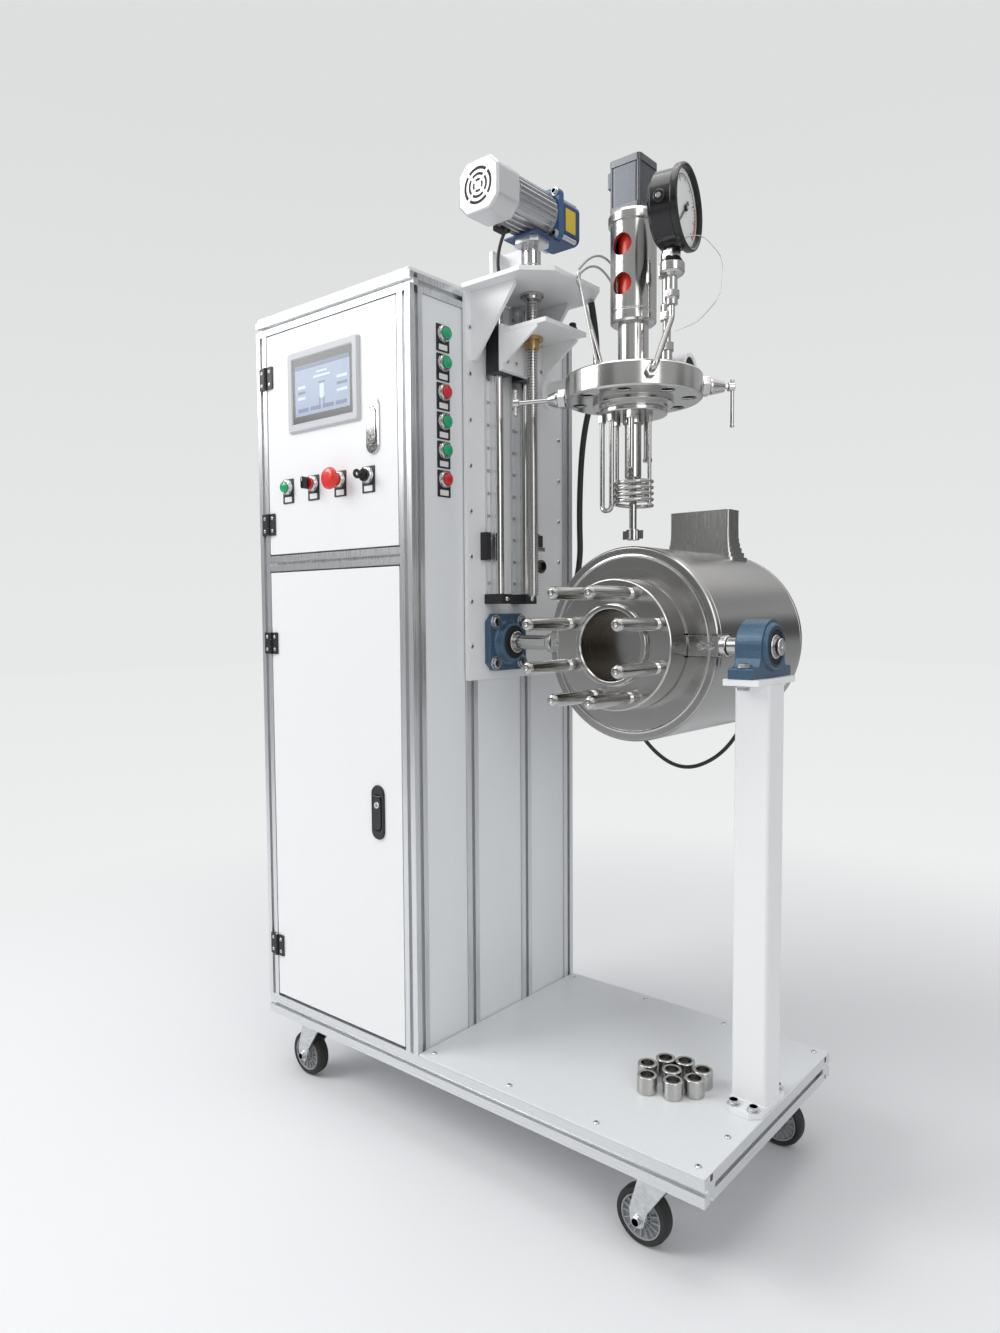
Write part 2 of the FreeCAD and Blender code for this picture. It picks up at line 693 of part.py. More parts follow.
# Casters: a plate with its stub under each corner, a fork that swivels on it, and the wheel
wheel_radius = driving("wheel_radius", 43, "caster wheel")
wheel_width = driving("wheel_width", 26, "caster wheel")
tread = driving("tread_thickness", 9, "rubber tread of a wheel")
caster_trail = driving("caster_trail", 26, "swivel axis to the axle")
caster_inset = driving("caster_inset", 95, "end of the base to the swivel axes")
caster_edge = driving("caster_edge", 47, "front and back edges to the swivel axes")
plate_long = driving("caster_plate_length", 92, "caster plate, left to right")
plate_wide = driving("caster_plate_width", 72, "caster plate, front to back")
plate_thick = driving("caster_plate_thickness", 3.5, "caster plate")
swivel_radius = driving("swivel_radius", 25, "swivel bearing of a caster")
swivel_tall = driving("swivel_height", 9, "swivel bearing of a caster")
stub_radius = driving("stub_radius", 7, "stub that the fork swivels on")
fork_sheet = driving("fork_sheet", 3, "sheet of a fork")
axle_radius = driving("axle_radius", 4, "caster axle")
fork_gap = driving("fork_gap", 2, "fork leg to the wheel's side")
fork_top = caster_height - plate_thick - end_play
leg_y = wheel_width / 2 + fork_gap


def caster_plate(x, y):
    """The stamped plate under the base with the stub riveted into it."""
    low = caster_height - plate_thick
    return join(block((x - plate_long / 2, y - plate_wide / 2, low), plate_long, plate_wide,
                      plate_thick),
                rod((x, y, low), stub_radius, swivel_tall + fork_sheet, DOWN))


def caster_fork(x, y, side):
    """The pressed fork: bearing cup, crown and two tapered legs with the axle between them."""
    crown_z = fork_top - swivel_tall
    axle_x = x + side * caster_trail
    reach = swivel_radius
    drop = crown_z - wheel_radius
    leg = [(-reach, Size(0)), (reach, Size(0)), (side * caster_trail + 9, -drop - 6),
           (side * caster_trail, -drop - 11), (side * caster_trail - 9, -drop - 6)]
    legs = [plate(leg, fork_sheet, (x, y + leg_y * way + fork_sheet * shift, crown_z), TO_FRONT)
            for way, shift in ((-1, 0), (1, 1))]
    crown = block((x - reach, y - leg_y - fork_sheet, crown_z - fork_sheet), 2 * reach,
                  2 * (leg_y + fork_sheet), fork_sheet)
    cup = rod((x, y, crown_z - fork_sheet / 2), swivel_radius, swivel_tall + fork_sheet / 2)
    axle_long = 2 * (leg_y + fork_sheet) + 2 * axle_radius
    axle = rod((axle_x, y - axle_long / 2, wheel_radius), axle_radius, axle_long, TO_BACK)
    bore = rod((x, y, crown_z - 2 * fork_sheet), stub_radius + run_play,
               swivel_tall + 3 * fork_sheet)
    return cut(join(cup, crown, *legs, axle), bore)


def caster_wheel(x, y):
    """The wheel: a dished hub with a rounded rubber tread, bored for the axle."""
    half = wheel_width / 2
    rim = wheel_radius - tread
    bore = axle_radius + run_play
    side = [(bore, half + 1), (bore * 2.4, half + 1), (rim - 3, half - 6), (rim, half),
            (wheel_radius, half - 5)]
    profile = [(radius, -height) for radius, height in side] + side[::-1]
    return turned(profile, (x, y, wheel_radius), TO_BACK)


corners = [(caster_inset, caster_edge, -1), (base_length - caster_inset, caster_edge, -1),
           (caster_inset, base_depth - caster_edge, -1),
           (base_length - caster_inset, base_depth - caster_edge, 1)]
keep("caster_plates", together(*[caster_plate(x, y) for x, y, side in corners]))
for number, (x, y, side) in enumerate(corners, 1):
    keep(f"caster_fork_{number}", caster_fork(x, y, side))
    keep(f"caster_wheel_{number}", caster_wheel(x + side * caster_trail, y))

# Lift plate on the cabinet's side, with a column of screws along each upright edge
lift_y = driving("lift_plate_place", 129, "front edge to the lift plate")
lift_width = driving("lift_plate_width", 281, "lift plate, front to back")
lift_low = driving("lift_plate_low", 808, "floor to the lift plate")
lift_tall = driving("lift_plate_height", 686, "lift plate")
lift_thick = driving("lift_plate_thickness", 8, "lift plate")
lift_x = cab_width + lift_thick
lift_top = lift_low + lift_tall
lift_outline = [(Size(0), Size(0)), (lift_width, Size(0)), (lift_width, lift_tall), (Size(0), lift_tall)]
keep("lift_plate", plate(lift_outline, lift_thick, (cab_width, lift_y, lift_low), ON_SIDE))

# Lift bracket: the top plate with its clipped corners, two gussets and the motor's stand
screw_off = driving("screw_stand_off", 72, "lift plate to the lead screw's axis")
top_reach = driving("top_plate_reach", 172, "top plate out from the cabinet")
top_front = driving("top_plate_place", 118, "front edge to the top plate")
top_clip = driving("top_plate_clip", 42, "clipped corners of the top plate")
gusset_drop = driving("gusset_drop", 118, "height of the gussets")
gusset_reach = driving("gusset_reach", 96, "reach of the gussets")
stand_tall = driving("stand_height", 76, "top plate to the gearbox")
lead_radius = driving("lead_screw_radius", 10, "lead screw")
screw_x = lift_x + screw_off
top_depth = 2 * (centre_y - top_front)
top_outline = [(Size(0), Size(0)), (top_reach - top_clip, Size(0)), (top_reach, top_clip),
               (top_reach, top_depth - top_clip), (top_reach - top_clip, top_depth),
               (Size(0), top_depth)]
top_z = lift_top + lift_thick
gusset_outline = [(Size(0), Size(0)), (gusset_reach, Size(0)), (gusset_reach, -lift_thick),
                  (lift_thick, -gusset_drop), (Size(0), -gusset_drop)]
gusset_inset = driving("gusset_inset", 26, "front and back ends of the top plate to the gussets")
gusset_low = gusset_drop + lift_thick
bearing_radius = driving("screw_bearing_radius", 21, "bearing flange of the lead screw")
support_radius = bearing_radius * 0.75
keep("lift_bracket", join(
    plate(top_outline, lift_thick, (lift_x, top_front, lift_top), UP,
          holes=[(screw_off, centre_y - top_front, support_radius)]),
    *[plate(gusset_outline, lift_thick, (lift_x, y, lift_top), TO_FRONT)
      for y in (top_front + gusset_inset + lift_thick, top_front + top_depth - gusset_inset)],
    block((lift_x, centre_y - lift_thick / 2, top_z), screw_off - 2 * lead_radius, lift_thick,
          stand_tall),
    block((lift_x, centre_y - 4 * lift_thick, top_z), lift_thick, 8 * lift_thick, stand_tall),
))

# Linear guide: two round rails on their strips, end blocks, the screw's bearing and a sensor
rail_half = driving("rail_half_pitch", 36.5, "centre to a guide rail")
rail_off = driving("rail_stand_off", 24, "lift plate to the rails' axes")
guide_radius = driving("guide_radius", 8, "guide rail")
strip_width = driving("strip_width", 26, "foot of a rail's strip")
strip_web = driving("strip_web", 9, "web of a rail's strip")
strip_foot = driving("strip_foot", 5, "thickness of a strip's foot")
guide_low = driving("guide_low", 946, "floor to the guide rails")
end_tall = driving("end_block_height", 18, "end blocks of the rails")
end_depth = driving("end_block_depth", 40, "end blocks of the rails, out from the plate")
guide_tall = lift_top - guide_low
rail_axis_x = lift_x + rail_off
rail_ys = [centre_y - rail_half, centre_y + rail_half]
strip = [(-strip_width / 2, Size(0)), (strip_width / 2, Size(0)), (strip_width / 2, strip_foot),
         (strip_web / 2, strip_foot), (strip_web / 2, rail_off), (-strip_web / 2, rail_off),
         (-strip_web / 2, strip_foot), (-strip_width / 2, strip_foot)]
# An outline drawn across the rails, with its height out from the plate, raised towards the top.
ACROSS = Rotation(Vector(0, 0, 1), -90)
sensor_z = driving("sensor_height", 1050, "floor to the travel sensor")
sensor_y = centre_y + rail_half + strip_width
keep("linear_guide", together(
    *[join(plate(strip, guide_tall - end_tall, (lift_x, y, guide_low + end_tall), ACROSS),
           rod((rail_axis_x, y, guide_low + end_tall), guide_radius, guide_tall - end_tall))
      for y in rail_ys],
    *[block((lift_x, y - strip_width * 0.62, guide_low), end_depth, strip_width * 1.24, end_tall)
      for y in rail_ys],
    cut(join(rod((screw_x, centre_y, lift_top - strip_foot), bearing_radius, strip_foot),
             rod((screw_x, centre_y, lift_top - strip_foot), support_radius - run_play,
                 lift_thick + strip_foot)),
        rod((screw_x, centre_y, lift_top - 2 * strip_foot), lead_radius + run_play,
            4 * strip_foot)),
    block((lift_x, centre_y - rail_half - strip_width, sensor_z - 25), end_depth * 0.4, 12, 50),
    join(block((lift_x, sensor_y, sensor_z - 4), 32, 26, 8),
         block((lift_x + 20, sensor_y + 4, sensor_z + 4), 12, 16, 22)),
    turned([(0, Size(0)), (13, Size(0)), (13, 5), (9, 9), (0, 9)],
           (lift_x, sensor_y + 52, sensor_z - 30), TO_RIGHT),
))

# Drive of the lift: a right-angle gearbox on the stand and the motor with its finned body
gear_side = driving("gearbox_side", 88, "gearbox and motor across")
gear_long = driving("gearbox_length", 62, "gearbox's end part")
motor_front = driving("motor_front", 82, "front edge to the motor's fan cover")
motor_long = driving("motor_body", 108, "finned body of the motor")
cover_long = driving("fan_cover_length", 58, "fan cover")
fins = 28
gear_low = top_z + stand_tall
motor_z = gear_low + gear_side / 2 + 12
body_y = motor_front + cover_long
flange_y = body_y + motor_long
half_side = gear_side / 2
chamfer = gear_side * 0.21
octagon = [(-half_side + chamfer, -half_side), (half_side - chamfer, -half_side),
           (half_side, -half_side + chamfer), (half_side, half_side - chamfer),
           (half_side - chamfer, half_side), (-half_side + chamfer, half_side),
           (-half_side, half_side - chamfer), (-half_side, -half_side + chamfer)]


def motor_body():
    """The motor's round body with a ring of cooling fins along it."""
    body = doc.addObject("PartDesign::Body", "motor")
    core = drawn(body, "XY_Plane")
    circle(core, Size(0), Size(0), half_side * 0.86)
    pad(body, core, motor_long)
    fin = drawn(body, "XY_Plane")
    rectangle(fin, half_side * 0.8, Size(-1.2), half_side * 0.16, Size(2.4))
    raised = pad(body, fin, motor_long)
    ring = body.newObject("PartDesign::PolarPattern", "fins")
    ring.Originals = [raised]
    ring.Axis = (fin, ["N_Axis"])
    ring.Angle = 360
    ring.Occurrences = fins
    body.Tip = ring
    return put(body, screw_x, body_y, motor_z, TO_BACK)


def fan_slots():
    """Three rings of vent slots in the fan cover's face, parted by four spokes."""
    rings = []
    for inner, outer in ((0.16, 0.25), (0.36, 0.46), (0.57, 0.68)):
        rings.append(cut(rod((screw_x, motor_front, motor_z), half_side * outer, 4, TO_BACK),
                         rod((screw_x, motor_front, motor_z), half_side * inner, 4, TO_BACK)))
    spoke = 3.5
    return cut(together(*rings),
               block((screw_x - spoke / 2, motor_front, motor_z - half_side), spoke, 5, gear_side),
               block((screw_x - half_side, motor_front, motor_z - spoke / 2), gear_side, 5, spoke))


gear_flange = driving("gear_flange", 14, "square flange between motor and gearbox")
foot_reach = driving("gear_foot_reach", 58, "gearbox's output housing in front of its flange")
shaft_radius = driving("output_radius", 11, "output shaft of the gearbox")
end_side = gear_side * 0.78
outlet = cut(rod((screw_x, centre_y, gear_low), half_side * 0.62, 12),
             rod((screw_x, centre_y, gear_low), shaft_radius + run_play, 10))
keep("gear_motor", together(
    join(cut(plate(octagon, cover_long, (screw_x, motor_front, motor_z), TO_BACK), fan_slots()),
         motor_body()),
    join(block((screw_x - half_side, flange_y, gear_low + 12), gear_side, gear_flange, gear_side),
         block((screw_x - end_side / 2, flange_y, gear_low + 12 + (gear_side - end_side) / 2), end_side,
               gear_flange + gear_long, end_side),
         block((screw_x - half_side * 0.8, centre_y - foot_reach * 0.6, gear_low + 8.5),
               gear_side * 0.8, flange_y + gear_flange - centre_y + foot_reach * 0.6, 3.5), outlet),
))

# Lead screw, with the coupling that holds it to the gearbox's shaft
screw_low = driving("screw_low", 958, "floor to the lower end of the lead screw")
coupling_radius = driving("coupling_radius", 16, "coupling on the lead screw")
coupling_low = top_z + 2 * strip_foot
coupling_top = gear_low - 2 * strip_foot
keep("lead_screw", turned([(0, screw_low), (lead_radius - 2, screw_low), (lead_radius, screw_low + 2),
                           (lead_radius, coupling_low), (coupling_radius, coupling_low),
                           (coupling_radius, coupling_top), (shaft_radius, coupling_top),
                           (shaft_radius, gear_low + 8), (0, gear_low + 8)],
                          (screw_x, centre_y, Size(0))))

# Carriage: slide blocks on the rails, the bracket round the screw's nut and the arm to the head
slide_low = driving("slide_low", 1355, "floor to the slide blocks")
slide_tall = driving("slide_height", 80, "slide blocks")
slide_half = driving("slide_half_width", 20, "rail axis to a slide block's side")
bracket_low = driving("bracket_low", 1312, "floor to the carriage's bracket")
bracket_front = driving("bracket_front", 166, "front edge to the carriage's bracket")
arm_y = driving("arm_place", 301, "front edge to the arm's axis")
arm_radius = driving("arm_radius", 22, "arm tube")
arm_z = lid_height + driving("arm_height", 62, "lid's underside to the arm's axis")
arm_end = driving("arm_end", 780, "left end to the arm's far end")
slide_top = slide_low + slide_tall
slide_x = rail_axis_x - slide_half * 0.6
face_x = rail_axis_x + slide_half
nut_z = slide_top - 2 * lift_thick


def slide(y):
    """A plain slide block: bored for the rail and open at the back for its strip."""
    return cut(block((slide_x, y - slide_half, slide_low), face_x - slide_x, 2 * slide_half,
                     slide_tall),
               rod((rail_axis_x, y, slide_low - 1), guide_radius + run_play, slide_tall + 2),
               block((slide_x - 1, y - strip_web / 2 - hole_play, slide_low - 1),
                     rail_axis_x - slide_x + 1, strip_web + 2 * hole_play, slide_tall + 2))


back_y = centre_y + (centre_y - bracket_front)
wing_y = arm_y + arm_radius + 6
wing_top = arm_z + arm_radius + 6
wing_step = driving("wing_step", 6, "step between the bracket's plate and its wing")
back_plate = [(bracket_front, slide_low), (arm_y - arm_radius - 10, slide_low),
              (arm_y - arm_radius - 6, bracket_low), (wing_y, bracket_low),
              (wing_y, wing_top), (back_y + wing_step, wing_top), (back_y, wing_top + wing_step),
              (back_y, slide_top), (bracket_front, slide_top)]
shelf_reach = driving("shelf_reach", 96, "carriage's shelf out from its plate")
shelf_x = face_x + lift_thick
shelf_end = shelf_x + shelf_reach
shelf = [(Size(0), Size(0)), (shelf_reach, Size(0)), (shelf_reach, back_y - bracket_front),
         (Size(0), back_y - bracket_front)]
shelf_drop = nut_z - arm_z - arm_radius - lift_thick - 1
shelf_gusset = [(Size(0), Size(0)), (shelf_reach * 0.8, Size(0)), (shelf_reach * 0.8, -strip_foot),
                (strip_foot, -shelf_drop), (Size(0), -shelf_drop)]
nut_radius = driving("nut_radius", 19.5, "flange of the lead screw's nut")
saddle_long = driving("saddle_length", 60, "saddle between the lid and the arm")
lid_top = lid_height + driving("lid_thickness", 40, "lid flange")
keep("carriage", together(
    *[slide(y) for y in rail_ys],
    plate(back_plate, lift_thick, (face_x, Size(0), Size(0)), ON_SIDE),
    plate(shelf, lift_thick, (shelf_x, bracket_front, nut_z), UP,
          holes=[(screw_x - shelf_x, centre_y - bracket_front, lead_radius + 4)]),
    *[plate(shelf_gusset, strip_foot, (shelf_x, y, nut_z), TO_FRONT)
      for y in (bracket_front + strip_foot, back_y)],
    join(rod((shelf_x, arm_y, arm_z), arm_radius + 8, lift_thick, TO_RIGHT),
         rod((shelf_x, arm_y, arm_z), arm_radius, arm_end - shelf_x, TO_RIGHT),
         rod((shelf_x + 54, arm_y, arm_z), arm_radius + 6, 18, TO_RIGHT),
         block((reactor_x - saddle_long / 2, arm_y - arm_radius, lid_top), saddle_long,
               2 * arm_radius, arm_z - lid_top)),
    turned([(lead_radius + run_play, nut_z - 22), (nut_radius * 0.66, nut_z - 22),
            (nut_radius * 0.66, nut_z - 6), (nut_radius, nut_z - 6), (nut_radius, nut_z),
            (lead_radius + run_play, nut_z)], (screw_x, centre_y, Size(0))),
))

# Head: the lid with its two-step spigot, the stirrer's drive housing and the servo motor
lid_radius = driving("lid_radius", 112, "lid flange")
spigot_radius = driving("spigot_radius", 56.5, "spigot that enters the vessel")
spigot_drop = driving("spigot_drop", 23, "spigot below the lid")
step_radius = driving("step_radius", 66, "raised ring of the lid")
step_drop = driving("step_drop", 8, "raised ring of the lid")
bolt_circle = driving("bolt_circle_radius", 90, "circle of the closure studs")
stud_radius = driving("stud_radius", 10.5, "closure studs")
stud_count = 8
bolt_play = driving("bolt_clearance", 1, "clearance of the lid's holes round the studs")
neck_radius = driving("neck_radius", 25, "neck on the lid")
neck_top = driving("neck_top", 1397, "floor to the top of the neck")
shaft = driving("stirrer_radius", 6, "stirrer's shaft")
sleeve_radius = driving("sleeve_radius", 13.5, "shaft's sleeve under the lid")
half_step = math.pi / stud_count
bolt_u = bolt_circle * math.cos(half_step)
bolt_v = bolt_circle * math.sin(half_step)
shaft_bore = shaft + 4 * run_play
lid = turned([(shaft_bore, lid_height - spigot_drop), (spigot_radius - 1, lid_height - spigot_drop),
              (spigot_radius, lid_height - step_drop), (step_radius, lid_height - step_drop),
              (step_radius, lid_height), (lid_radius - 2, lid_height), (lid_radius, lid_height + 2),
              (lid_radius, lid_top - 2), (lid_radius - 2, lid_top), (shaft_bore, lid_top)],
             (reactor_x, centre_y, Size(0)))
bored(lid, [(bolt_u, bolt_v, stud_radius + bolt_play)], stud_count)
port_radius = driving("port_radius", 6, "ports in the lid's rim")
ports = [(0.7071, -0.7071, 20), (0.7071, 0.7071, 27), (-0.9397, -0.342, 15)]


def port_start(number, out=-10):
    """A point on the axis of one of the lid's rim ports, a distance out from the rim."""
    across, back, rise = ports[number]
    return (reactor_x + (lid_radius + out) * across, centre_y + (lid_radius + out) * back,
            lid_height + rise)


def port_turn(number):
    """The turn that points a bar out of a rim port."""
    across, back, rise = ports[number]
    return Rotation(Vector(0, 0, 1), Vector(across, back, 0))


keep("lid_flange", cut(lid, *[rod(port_start(number), port_radius, 40, port_turn(number))
                              for number in range(len(ports))]))

drive_radius = driving("drive_radius", 37.5, "drive housing")
drive_top = driving("drive_top", 1555, "floor to the top of the drive housing")
drive_wall = driving("drive_wall", 6, "wall of the drive housing")
window_radius = driving("window_radius", 17, "windows of the drive housing")
window_low = driving("window_low", 1455, "floor to the lower window")
window_pitch = driving("window_pitch", 62, "pitch of the windows")
ring_tall = driving("ring_height", 17, "ring under the servo motor")
servo_side = driving("servo_side", 57, "servo motor")
servo_tall = driving("servo_height", 83, "servo motor")
ring_top = drive_top + ring_tall
inner = drive_radius - drive_wall
housing = turned([(shaft_bore, lid_top), (neck_radius + 7, lid_top), (neck_radius + 7, lid_top + 9),
                  (neck_radius, lid_top + 9), (neck_radius, neck_top), (drive_radius - 3, neck_top),
                  (drive_radius, neck_top + 3), (drive_radius, drive_top),
                  (drive_radius + 3.5, drive_top), (drive_radius + 3.5, ring_top - 3),
                  (drive_radius, ring_top), (inner, ring_top), (inner, neck_top + 8),
                  (shaft_bore, neck_top + 8)], (reactor_x, centre_y, Size(0)))
keep("drive_housing", cut(housing, *[
    rod((reactor_x, centre_y, window_low + window_pitch * row), window_radius, 2 * drive_radius, TO_FRONT)
    for row in (0, 1)]))
servo_low = ring_top
servo = doc.addObject("PartDesign::Body", "servo")
servo_sketch = drawn(servo, "XY_Plane")
rectangle(servo_sketch, Size(0), Size(0), servo_side, servo_side)
pad(servo, servo_sketch, servo_tall)
corners_rounded(servo, driving("servo_corner", 5, "rounding of the servo motor's corners"))
put(servo, reactor_x - servo_side / 2, centre_y - servo_side / 2, servo_low)
keep("servo_motor", cut(join(servo, block((reactor_x - servo_side / 2 - 14, centre_y - 12, servo_low + servo_tall - 34),
                                          16, 24, 26),
                             rod((reactor_x, centre_y, servo_low), inner - hole_play, 8, DOWN)),
                        rod((reactor_x, centre_y, servo_low - 9), shaft_bore, 24)))

# Stirrer: shaft, the magnet sleeve seen in the windows, and the impeller
stirrer_low = driving("stirrer_low", 1048, "floor to the lower end of the stirrer")
impeller_radius = driving("impeller_radius", 19, "impeller")
impeller_tall = driving("impeller_height", 14, "impeller")
impeller_sheet = driving("impeller_sheet", 2.5, "blades of the impeller")
magnet_radius = driving("magnet_radius", 24, "magnet sleeve on the stirrer")
sleeve_low = neck_top + 3 * drive_wall
sleeve_top = drive_top - 2 * drive_wall
spindle = turned([(0, stirrer_low), (shaft, stirrer_low), (shaft, sleeve_low),
                  (magnet_radius, sleeve_low), (magnet_radius, sleeve_top), (shaft, sleeve_top),
                  (shaft, ring_top + 8), (0, ring_top + 8)], (reactor_x, centre_y, Size(0)))
blade_z = stirrer_low + 2
hub = rod((reactor_x, centre_y, stirrer_low), shaft * 1.6, impeller_tall + 4)
blades = [block((reactor_x - impeller_radius, centre_y - impeller_sheet / 2, blade_z),
                2 * impeller_radius, impeller_sheet, impeller_tall),
          block((reactor_x - impeller_sheet / 2, centre_y - impeller_radius, blade_z),
                impeller_sheet, 2 * impeller_radius, impeller_tall)]
keep("stirrer", join(spindle, hub, *blades))

# Inside pieces under the lid: shaft sleeve, cooling coil, dip tube and sensor sleeve
coil_radius = driving("coil_radius", 31, "axis of the cooling coil's turns")
coil_tube = driving("coil_tube_radius", 3.2, "cooling coil's tube")
coil_low = driving("coil_low", 1104, "floor to the coil's lowest turn")
coil_pitch = driving("coil_pitch", 11, "pitch of the coil's turns")
coil_turns = 5
spigot_low = lid_height - spigot_drop
sleeve_end = driving("sleeve_end", 1150, "floor to the lower end of the shaft's sleeve")


def coil_turn(number):
    """One turn of the coil, round the shaft between the two risers."""
    z = coil_low + coil_pitch * number
    tube_half = coil_tube * 0.87
    return turned([(coil_radius - coil_tube, z), (coil_radius - coil_tube / 2, z - tube_half),
                   (coil_radius + coil_tube / 2, z - tube_half), (coil_radius + coil_tube, z),
                   (coil_radius + coil_tube / 2, z + tube_half),
                   (coil_radius - coil_tube / 2, z + tube_half)],
                  (reactor_x, centre_y, Size(0)))


coil_top = coil_low + coil_pitch * (coil_turns - 1)
riser = coil_tube * 0.85
dip_u = driving("dip_tube_left", 38, "reactor's axis to the dip tube, to the left")
dip_v = driving("dip_tube_front", 34, "reactor's axis to the dip tube, to the front")
dip_low = driving("dip_tube_low", 1096, "floor to the bend of the dip tube")
dip_radius = driving("dip_tube_radius", 4, "dip tube")
keep("head_internals", together(
    cut(rod((reactor_x, centre_y, spigot_low), sleeve_radius, spigot_low - sleeve_end, DOWN),
        rod((reactor_x, centre_y, spigot_low + 1), shaft_bore, spigot_low - sleeve_end + 2, DOWN)),
    join(*[coil_turn(number) for number in range(coil_turns)],
         rod((reactor_x + coil_radius, centre_y, coil_low), riser, spigot_low - coil_low),
         rod((reactor_x - coil_radius, centre_y, coil_top), riser, spigot_low - coil_top)),
    tube([(reactor_x - dip_u, centre_y - dip_v, spigot_low),
          (reactor_x - dip_u, centre_y - dip_v, dip_low),
          (reactor_x - dip_u + 22, centre_y - dip_v - 6, dip_low),
          (reactor_x - dip_u + 22, centre_y - dip_v - 6, spigot_low)], dip_radius, 10),
    rod((reactor_x + 22, centre_y - 42, spigot_low), 4.5, 92, DOWN),
))

# Fittings on the lid: safety column, probes, valve bodies and the gauge's line
column_x = reactor_x + driving("column_place", 62, "reactor's axis to the safety column, to the right")
column_radius = driving("column_radius", 10, "safety column")
column_top = driving("column_top", 1500, "floor to the top of the safety column")
valve_body = driving("valve_body", 26, "bodies of the rim valves, along their port")
valve_radius = driving("valve_radius", 17, "bodies of the rim valves")


def rim_valve(number, reach):
    """A valve body on a rim port: spigot in the port, hexagon and tapered bonnet."""
    turn = port_turn(number)
    return cut(join(rod(port_start(number), port_radius, 12, turn),
                    hexagon(port_start(number, 2), valve_radius, valve_body * 0.5, turn),
                    taper(port_start(number, 2 + valve_body * 0.5), valve_radius * 0.8,
                          valve_radius * 0.5, reach, turn)),
               rod(port_start(number, reach), 4 + run_play, 3 * valve_body, turn))


def probe(lean, reach):
    """A sensor's stem leaning out of its gland on the lid."""
    foot = (reactor_x - 46, centre_y - 11 - reach, lid_top)
    turn = Rotation(Vector(0, 0, 1), Vector(lean, 0, 1))
    return join(hexagon(foot, 9, 12), rod((foot[0], foot[1], lid_top + 6), 2.4, 180, turn),
                rod((foot[0], foot[1], lid_top + 6), 5, 26, turn))


gauge_x = driving("gauge_place", 799, "left end to the gauge's back")
gauge_y = driving("gauge_depth", 162, "front edge to the gauge's axis at its back")
gauge_z = driving("gauge_height", 1530, "floor to the gauge's axis")
gauge_radius = driving("gauge_radius", 62, "rim of the gauge")
gauge_case = driving("gauge_case_radius", 57, "case of the gauge")
gauge_deep = driving("gauge_case_depth", 50, "case of the gauge, back to rim")
stem_off = driving("gauge_stem_off", 22, "gauge's back to its stem")
gauge_yaw = 10
GAUGE = Rotation(Vector(0, 0, 1), gauge_yaw).multiply(TO_RIGHT)
stem_x = gauge_x + stem_off * math.cos(math.radians(gauge_yaw))
stem_y = gauge_y + stem_off * math.sin(math.radians(gauge_yaw))
elbow = port_start(0, 24)
pipe_low = lid_top + 60
line_points = [port_start(0), elbow, (stem_x, stem_y, pipe_low), (stem_x, stem_y, pipe_low + 60)]
keep("lid_fittings", together(
    join(hexagon((column_x, centre_y, lid_top), 16, 14),
         rod((column_x, centre_y, lid_top), column_radius, column_top - lid_top),
         hexagon((column_x, centre_y, column_top - 40), 15, 16)),
    probe(-0.33, Size(0)), probe(-0.24, driving("probe_pitch", 20, "pitch of the leaning probes")),
    rim_valve(1, valve_body), rim_valve(2, valve_body * 0.7),
    tube(line_points, 4.6, 14),
    turned([(4.6, pipe_low + 20), (9, pipe_low + 20), (9, pipe_low + 60), (19, pipe_low + 62),
            (19, gauge_z - gauge_case - 18), (12, gauge_z - gauge_case - 7),
            (12, gauge_z - gauge_case),
            (0, gauge_z - gauge_case), (0, pipe_low + 60), (4.6, pipe_low + 60)],
           (stem_x, stem_y, Size(0))),
))
dial_sink = driving("dial_sink", 9, "dial behind the gauge's rim")
needle_gap = driving("needle_gap", 1.5, "dial to the needle")
dial_at = gauge_deep - dial_sink
gauge_body = turned([(0, Size(0)), (gauge_case - 8, Size(0)), (gauge_case, 7), (gauge_case, gauge_deep - 12),
                     (gauge_radius, gauge_deep - 11), (gauge_radius, gauge_deep),
                     (gauge_radius - 6, gauge_deep), (gauge_radius - 6, dial_at), (0, dial_at)],
                    (gauge_x, gauge_y, gauge_z), GAUGE)
pin_radius = driving("gauge_pin_radius", 2, "pin that the gauge's needle turns on")
pin_at = GAUGE.multVec(Vector(0, 0, float(dial_at)))
keep("pressure_gauge", join(gauge_body, rod((stem_x, stem_y, gauge_z - gauge_case), 9, 12),
                            rod((gauge_x + pin_at.x, gauge_y + pin_at.y, gauge_z), pin_radius, 5,
                                GAUGE)))
needle = turned([(0, dial_at + needle_gap), (5, dial_at + needle_gap), (4, dial_at + needle_gap + 3),
                 (0, dial_at + needle_gap + 3)], (gauge_x, gauge_y, gauge_z), GAUGE)
pointer = plate([(-3, -16), (3, -16), (1, 46), (-1, 46)], 1.2, (Size(0), Size(0), Size(0)))
pointer_at = GAUGE.multVec(Vector(0, 0, float(dial_at + needle_gap)))
put(pointer, gauge_x + pointer_at.x, gauge_y + pointer_at.y, gauge_z, GAUGE)
keep("gauge_needle", cut(join(needle, pointer), rod((gauge_x + pin_at.x, gauge_y + pin_at.y, gauge_z),
                                                    pin_radius + run_play, 9, GAUGE)))

# Handles of the two rim valves: a stem in the bonnet and a bar across its end
handle_radius = driving("handle_radius", 3.5, "bars of the valve handles")
stem_radius = driving("valve_stem_radius", 4, "stems of the valve handles")
gas_bar = driving("gas_handle_bar", 78, "bar of the gas valve's handle")
vent_bar = driving("vent_handle_bar", 44, "bar of the vent valve's handle")
vent_stem = driving("vent_handle_stem", 74, "stem of the vent valve's handle")


